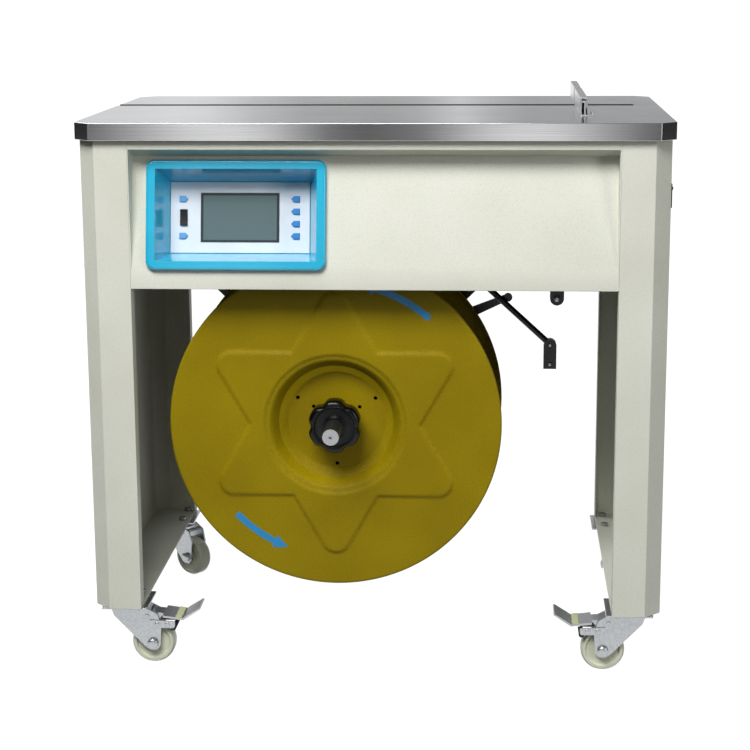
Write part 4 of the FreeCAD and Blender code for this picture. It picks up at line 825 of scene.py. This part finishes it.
STEM, AXLE = joint_place("front_left_swivel_turn"), joint_place("front_left_wheel_roll")
TRAIL, CHEEK, ARM_SHEET = (AXLE - STEM).xy.length / MM, 18, 2
ARM = [(TRAIL - 4, 60), (TRAIL + 34, 60), (TRAIL + 36, 63), (TRAIL + 36, 71), (TRAIL - 4, 73)]
INSERT = [(TRAIL + 38, 79.9), (TRAIL + 48, 78.6), (TRAIL + 48, 79.8), (TRAIL + 38, 81.1)]
for castor, heading in (("front_left", 0), ("front_right", 180)):
    stem = joint_place(castor + "_swivel_turn")
    stem.z = 0
    turn = math.radians(heading)
    body = castor + "_swivel"
    spin = Matrix.Rotation(turn, 3, "Z")
    for side, label in ((-1, "near"), (1, "far")):
        low, high = sorted((side * CHEEK, side * (CHEEK + ARM_SHEET)))
        arm = slab(f"{castor}_{label}_arm", ARM, low, high, stem, turn, "castor_zinc")
        give(f"{castor}_{label}_arm", arm, body)
        outside = side * (CHEEK + ARM_SHEET)
        rivets = [stem + spin @ Vector((x * MM, outside * MM, 66 * MM)) for x in (TRAIL + 8, TRAIL + 24)]
        set_on_points(f"{castor}_{label}_rivets", rivets, tuple(spin @ Vector((0, side, 0))), dome,
                      body, size=0.85)
    stop = slab(castor + "_stop", [(TRAIL + 30, 56), (TRAIL + 36, 56), (TRAIL + 38, 60), (TRAIL + 30, 60)],
                -20, 20, stem, turn, "belt_rubber")
    give(castor + "_stop", stop, body)
    insert = slab(castor + "_pedal_insert", INSERT, -25, 25, stem, turn, "pad_cream")
    give(castor + "_pedal_insert", insert, castor + "_brake")
for castor in ("front_left", "front_right", "rear_left", "rear_right"):
    axle = joint_place(castor + "_wheel_roll")
    along = Vector(JOINTS[castor + "_wheel_roll"]["axis"])
    for side, label in ((-1, "near"), (1, "far")):
        set_on_points(f"{castor}_{label}_axle_cap", [axle + along * (side * 22 * MM)],
                      tuple(along * side), dome,
                      castor + "_swivel", size=1.6)

# %% [markdown]
# ## Painted shade in the strap slot
# Black strips line both walls of the strap slot. They are painted shade that stands in for the dark
# inside the slot. On the rear plate the strip stands a hair above the steel, and a flat black trim covers
# the cut edge and widens the dark line.

# %% Painted shade strips in the slot
plate_low, plate_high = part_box("front_table_plate")
rear_plate_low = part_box("rear_table_plate")[0]
slot_y = (plate_high.y + rear_plate_low.y) / 2 / MM
left, right = plate_low.x / MM + 0.4, plate_high.x / MM - 41
STRIPS = [("front_slot_liner", "frame", -11, -10.2, 845.5, 855.3),
          ("rear_slot_liner", "rear_table", 9.6, 11, 845.5, 856.2),
          ("rear_slot_trim", "rear_table", 11, 14.5, 856.0, 856.25)]
# Each strip is painted shade: a black sheet where the slot would be dark.
for name, body, near, far, bottom, top in STRIPS:
    outline = [(left, bottom), (right, bottom), (right, top), (left, top)]
    strip = slab(name, outline, slot_y + near, slot_y + far, Vector(), 0.0, "slot_painted_shade")
    give(name, strip, body)
print("slot strips:", len(STRIPS))


# %% [markdown]
# ## Louvres in the cabinet sides
# Pressed louvres let the motor's heat out through the upper sides. Each is a half round hood
# on the sheet. The tree draws one hood from a short grid, and repeats it down a line.

# %% Louvres by Geometry Nodes
def louvre_shape(name, length, depth, rise):
    """One hood along Y that stands out along +Z."""
    work = bmesh.new()
    rows, columns = 8, 20
    grid = []
    for i in range(columns + 1):
        along = -1 + 2 * i / columns
        swell = math.sqrt(max(0.0, 1 - abs(along) ** 6))
        line = []
        for j in range(rows + 1):
            angle = math.pi * j / rows
            across = -rise / 2 * math.cos(angle) * (0.3 + 0.7 * swell)
            line.append(work.verts.new((across, along * length / 2, depth * math.sin(angle) * swell)))
        grid.append(line)
    for i in range(columns):
        for j in range(rows):
            work.faces.new((grid[i][j], grid[i][j + 1], grid[i + 1][j + 1], grid[i + 1][j]))
        work.faces.new((grid[i][rows], grid[i][0], grid[i + 1][0], grid[i + 1][rows]))
    bmesh.ops.remove_doubles(work, verts=work.verts, dist=1e-7)
    bmesh.ops.recalc_face_normals(work, faces=work.faces)
    mesh = bpy.data.meshes.new(name)
    work.to_mesh(mesh)
    work.free()
    smooth(mesh, 40)
    shape = bpy.data.objects.new(name, mesh)
    bpy.context.scene.collection.objects.link(shape)
    return shape


hood = louvre_shape("louvre", 120 * MM, 3.2 * MM, 9 * MM)
for side, label in ((-1, "left"), (1, "right")):
    points = [(side * SIDE_X, y, 0.705 + 0.016 * i) for i in range(6) for y in (-0.06, 0.13)]
    mesh = bpy.data.meshes.new(label + "_louvre_points")
    mesh.from_pydata(points, [], [])
    holder = bpy.data.objects.new(label + "_louvre_points", mesh)
    bpy.context.scene.collection.objects.link(holder)
    values = {"Part": hood, "Direction": (0.0, 0.0, 1.0), "Size": 1.0, "Spin": 0.0,
              "Finish": FINISH["cabinet_paint"]}
    result = run_tree(SCATTER, holder, values)
    bpy.data.objects.remove(holder)
    for vertex in result.vertices:
        near = min(points, key=lambda p: (Vector(p) - vertex.co).length)
        x, y, z = (vertex.co - Vector(near))
        vertex.co = Vector(near) + Vector((side * z, y, -side * x))
    result.name = label + "_louvres"
    give(label + "_louvres", result, "frame")
for shape in (pan, dome, small, hood):
    bpy.data.objects.remove(shape)
print("louvres on each side:", len(points))


# %% [markdown]
# ## Stage, light and camera
# The machine stands on pale paper that curves up into a wall. The paper glows a little, so it
# stays nearly white. Steel shows what it reflects, so the paper has dark and bright stripes where only
# the table's edge sees it, in front of the machine, and is dark far out at the sides for the
# cut corners. High on the wall it has the tones that the table's top shows. One high soft
# light in front does most of the work.

# %% Floor
EYE = Vector((0.184, -3.0516, 1.0835))
BANDS = [(0.0, "38393A"), (0.085, "9A9B9C"), (0.17, "FFFFFF"), (0.3, "FFFFFF"), (0.38, "7E7F80"),
         (0.43, "050505"), (0.57, "050505"), (0.64, "A6A7A8"), (0.7, "FFFFFF"), (0.81, "FFFFFF"),
         (0.89, "ABACAD"), (0.98, "0A0A0A")]
BAND_RANGE = (-0.22, 0.09)
WALL = [(-1.1, "C4C5C6"), (-0.92, "CECFD0"), (-0.8, "C7C8C9"), (-0.65, "A5A6A7"), (-0.48, "858687"),
        (-0.2, "7F8081"), (-0.08, "8F9091"), (0.056, "B7B8B9"), (0.17, "97989A"), (0.28, "7F8081")]
WALL_RANGE = (-1.2, 0.4)
GLOW = 1.2


def mixed_tone(tree, factor, first, second):
    """The first tone where the factor is 0, the second where it is 1."""
    blended = add(tree, "ShaderNodeMix", data_type="RGBA")
    for socket, value in ((0, factor), (6, first), (7, second)):
        tree.links.new(value, blended.inputs[socket])
    return blended.outputs[2]


def banded(tree, slope):
    """The stripes, over the sideways slope at which the table's edge sees them."""
    return ramp(tree, stretched(tree, slope, *BAND_RANGE), BANDS)


def step_at(tree, value, level, reach):
    """A soft step from 0 to 1 at a level."""
    return stretched(tree, value, level - reach, level + reach)


def studio_floor():
    work = bmesh.new()
    radius, depth, width = 1.2, 2.2, 8.0
    line = [(-9.0, 0.0), (depth, 0.0)]
    for i in range(1, 13):
        bend = math.radians(90 * i / 12)
        line.append((depth + radius * math.sin(bend), radius * (1 - math.cos(bend))))
    line.append((depth + radius, 5.0))
    sides = [[work.verts.new((x, y, z)) for y, z in line] for x in (-width, width)]
    for i in range(len(line) - 1):
        work.faces.new((sides[0][i], sides[1][i], sides[1][i + 1], sides[0][i + 1]))
    mesh = bpy.data.meshes.new("studio_floor")
    work.to_mesh(mesh)
    work.free()
    for face in mesh.polygons:
        face.use_smooth = True
    material, tree, shader, place = finish("studio_paper", "808080", Roughness=0.9)
    spot = add(tree, "ShaderNodeSeparateXYZ", {0: place}).outputs
    away = math_node(tree, "SUBTRACT", -0.56 - EYE.y, spot["Y"])
    slope = math_node(tree, "DIVIDE", math_node(tree, "SUBTRACT", spot["X"], EYE.x), away)
    behind = step_at(tree, spot["Y"], -1.2, 0.2)
    high = step_at(tree, spot["Z"], 1.04, 0.05)
    span = WALL_RANGE[1] - WALL_RANGE[0]
    across = stretched(tree, spot["X"], *WALL_RANGE)
    wall = ramp(tree, across, [((x - WALL_RANGE[0]) / span, code) for x, code in WALL])
    tone = mixed_tone(tree, behind, banded(tree, slope), plain(tree, "E6E6E6"))
    tone = mixed_tone(tree, high, tone, wall)
    aside = step_at(tree, math_node(tree, "ABSOLUTE", spot["X"]), 2.5, 0.3)
    tone = mixed_tone(tree, aside, tone, plain(tree, "2A2B2C"))
    tree.links.new(tone, shader.inputs["Emission Color"])
    shader.inputs["Emission Strength"].default_value = GLOW
    mesh.materials.append(material)
    floor = bpy.data.objects.new("studio_floor", mesh)
    bpy.context.scene.collection.objects.link(floor)
    floor.visible_diffuse = False
    floor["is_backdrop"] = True


studio_floor()


# %% Lights
def softbox(name, place, aim, width, height, power):
    light = bpy.data.lights.new(name, "AREA")
    light.shape = "RECTANGLE"
    light.size, light.size_y = width, height
    light.energy = power
    lamp = bpy.data.objects.new(name, light)
    bpy.context.scene.collection.objects.link(lamp)
    lamp.location = place
    lamp.rotation_euler = (Vector(aim) - Vector(place)).to_track_quat("-Z", "Y").to_euler()
    return lamp


softbox("key_high", (-0.75, -2.35, 3.0), (0, -0.2, 0.55), 1.9, 1.3, 128)
softbox("fill_right", (2.6, -2.4, 1.2), (0, -0.2, 0.5), 1.0, 1.6, 26)
softbox("rear_left", (-2.6, 1.4, 2.6), (0, 0, 0.5), 1.2, 1.2, 40)

world = bpy.data.worlds.new("studio")
world.use_nodes = True
tree = world.node_tree
way = add(tree, "ShaderNodeSeparateXYZ", {0: add(tree, "ShaderNodeTexCoord").outputs["Generated"]}).outputs
depth = math_node(tree, "MAXIMUM", math_node(tree, "MULTIPLY", way["Y"], -1.0), 0.001)
bands = banded(tree, math_node(tree, "DIVIDE", way["X"], depth))
rear_half = step_at(tree, way["Y"], 0.0, 0.02)
pale, dim = plain(tree, "7C7D7E"), plain(tree, "18191A")
aside = step_at(tree, math_node(tree, "ABSOLUTE", way["X"]), 0.8, 0.05)
ring_tone = mixed_tone(tree, aside, mixed_tone(tree, rear_half, bands, pale), dim)
upper = mixed_tone(tree, step_at(tree, way["Z"], 0.45, 0.15), ring_tone, pale)
tone = mixed_tone(tree, step_at(tree, way["Z"], -0.2, 0.08), dim, upper)
tree.links.new(tone, tree.nodes["Background"].inputs["Color"])
tree.nodes["Background"].inputs["Strength"].default_value = GLOW
bpy.context.scene.world = world
bpy.context.scene.view_settings.view_transform = "Standard"
print("lights: 3")


# %% Camera
CAMERA_YAW, CAMERA_PITCH, CAMERA_ROLL = 3.733, 12.253, -0.307
lens = bpy.data.cameras.new("camera")
lens.lens, lens.sensor_width = 90.93, 36.0
camera = bpy.data.objects.new("camera", lens)
bpy.context.scene.collection.objects.link(camera)
camera.matrix_world = (Matrix.Translation(EYE)
                       @ Matrix.Rotation(math.radians(CAMERA_YAW), 4, "Z")
                       @ Matrix.Rotation(math.radians(90 - CAMERA_PITCH), 4, "X")
                       @ Matrix.Rotation(math.radians(CAMERA_ROLL), 4, "Z"))
bpy.context.scene.camera = camera
print("camera distance, m:", round((camera.location - (cad_low + cad_high) / 2).length, 2))

# %% [markdown]
# ## Measure
# The script prints how far the visible machine reaches past the engineering model's box on each axis.

# %% Sizes
low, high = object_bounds()
corners = zip(cad_low, low, cad_high, high)
print("grown by, mm:", [round(max(a - b, d - c, 0) / MM, 2) for a, b, c, d in corners])
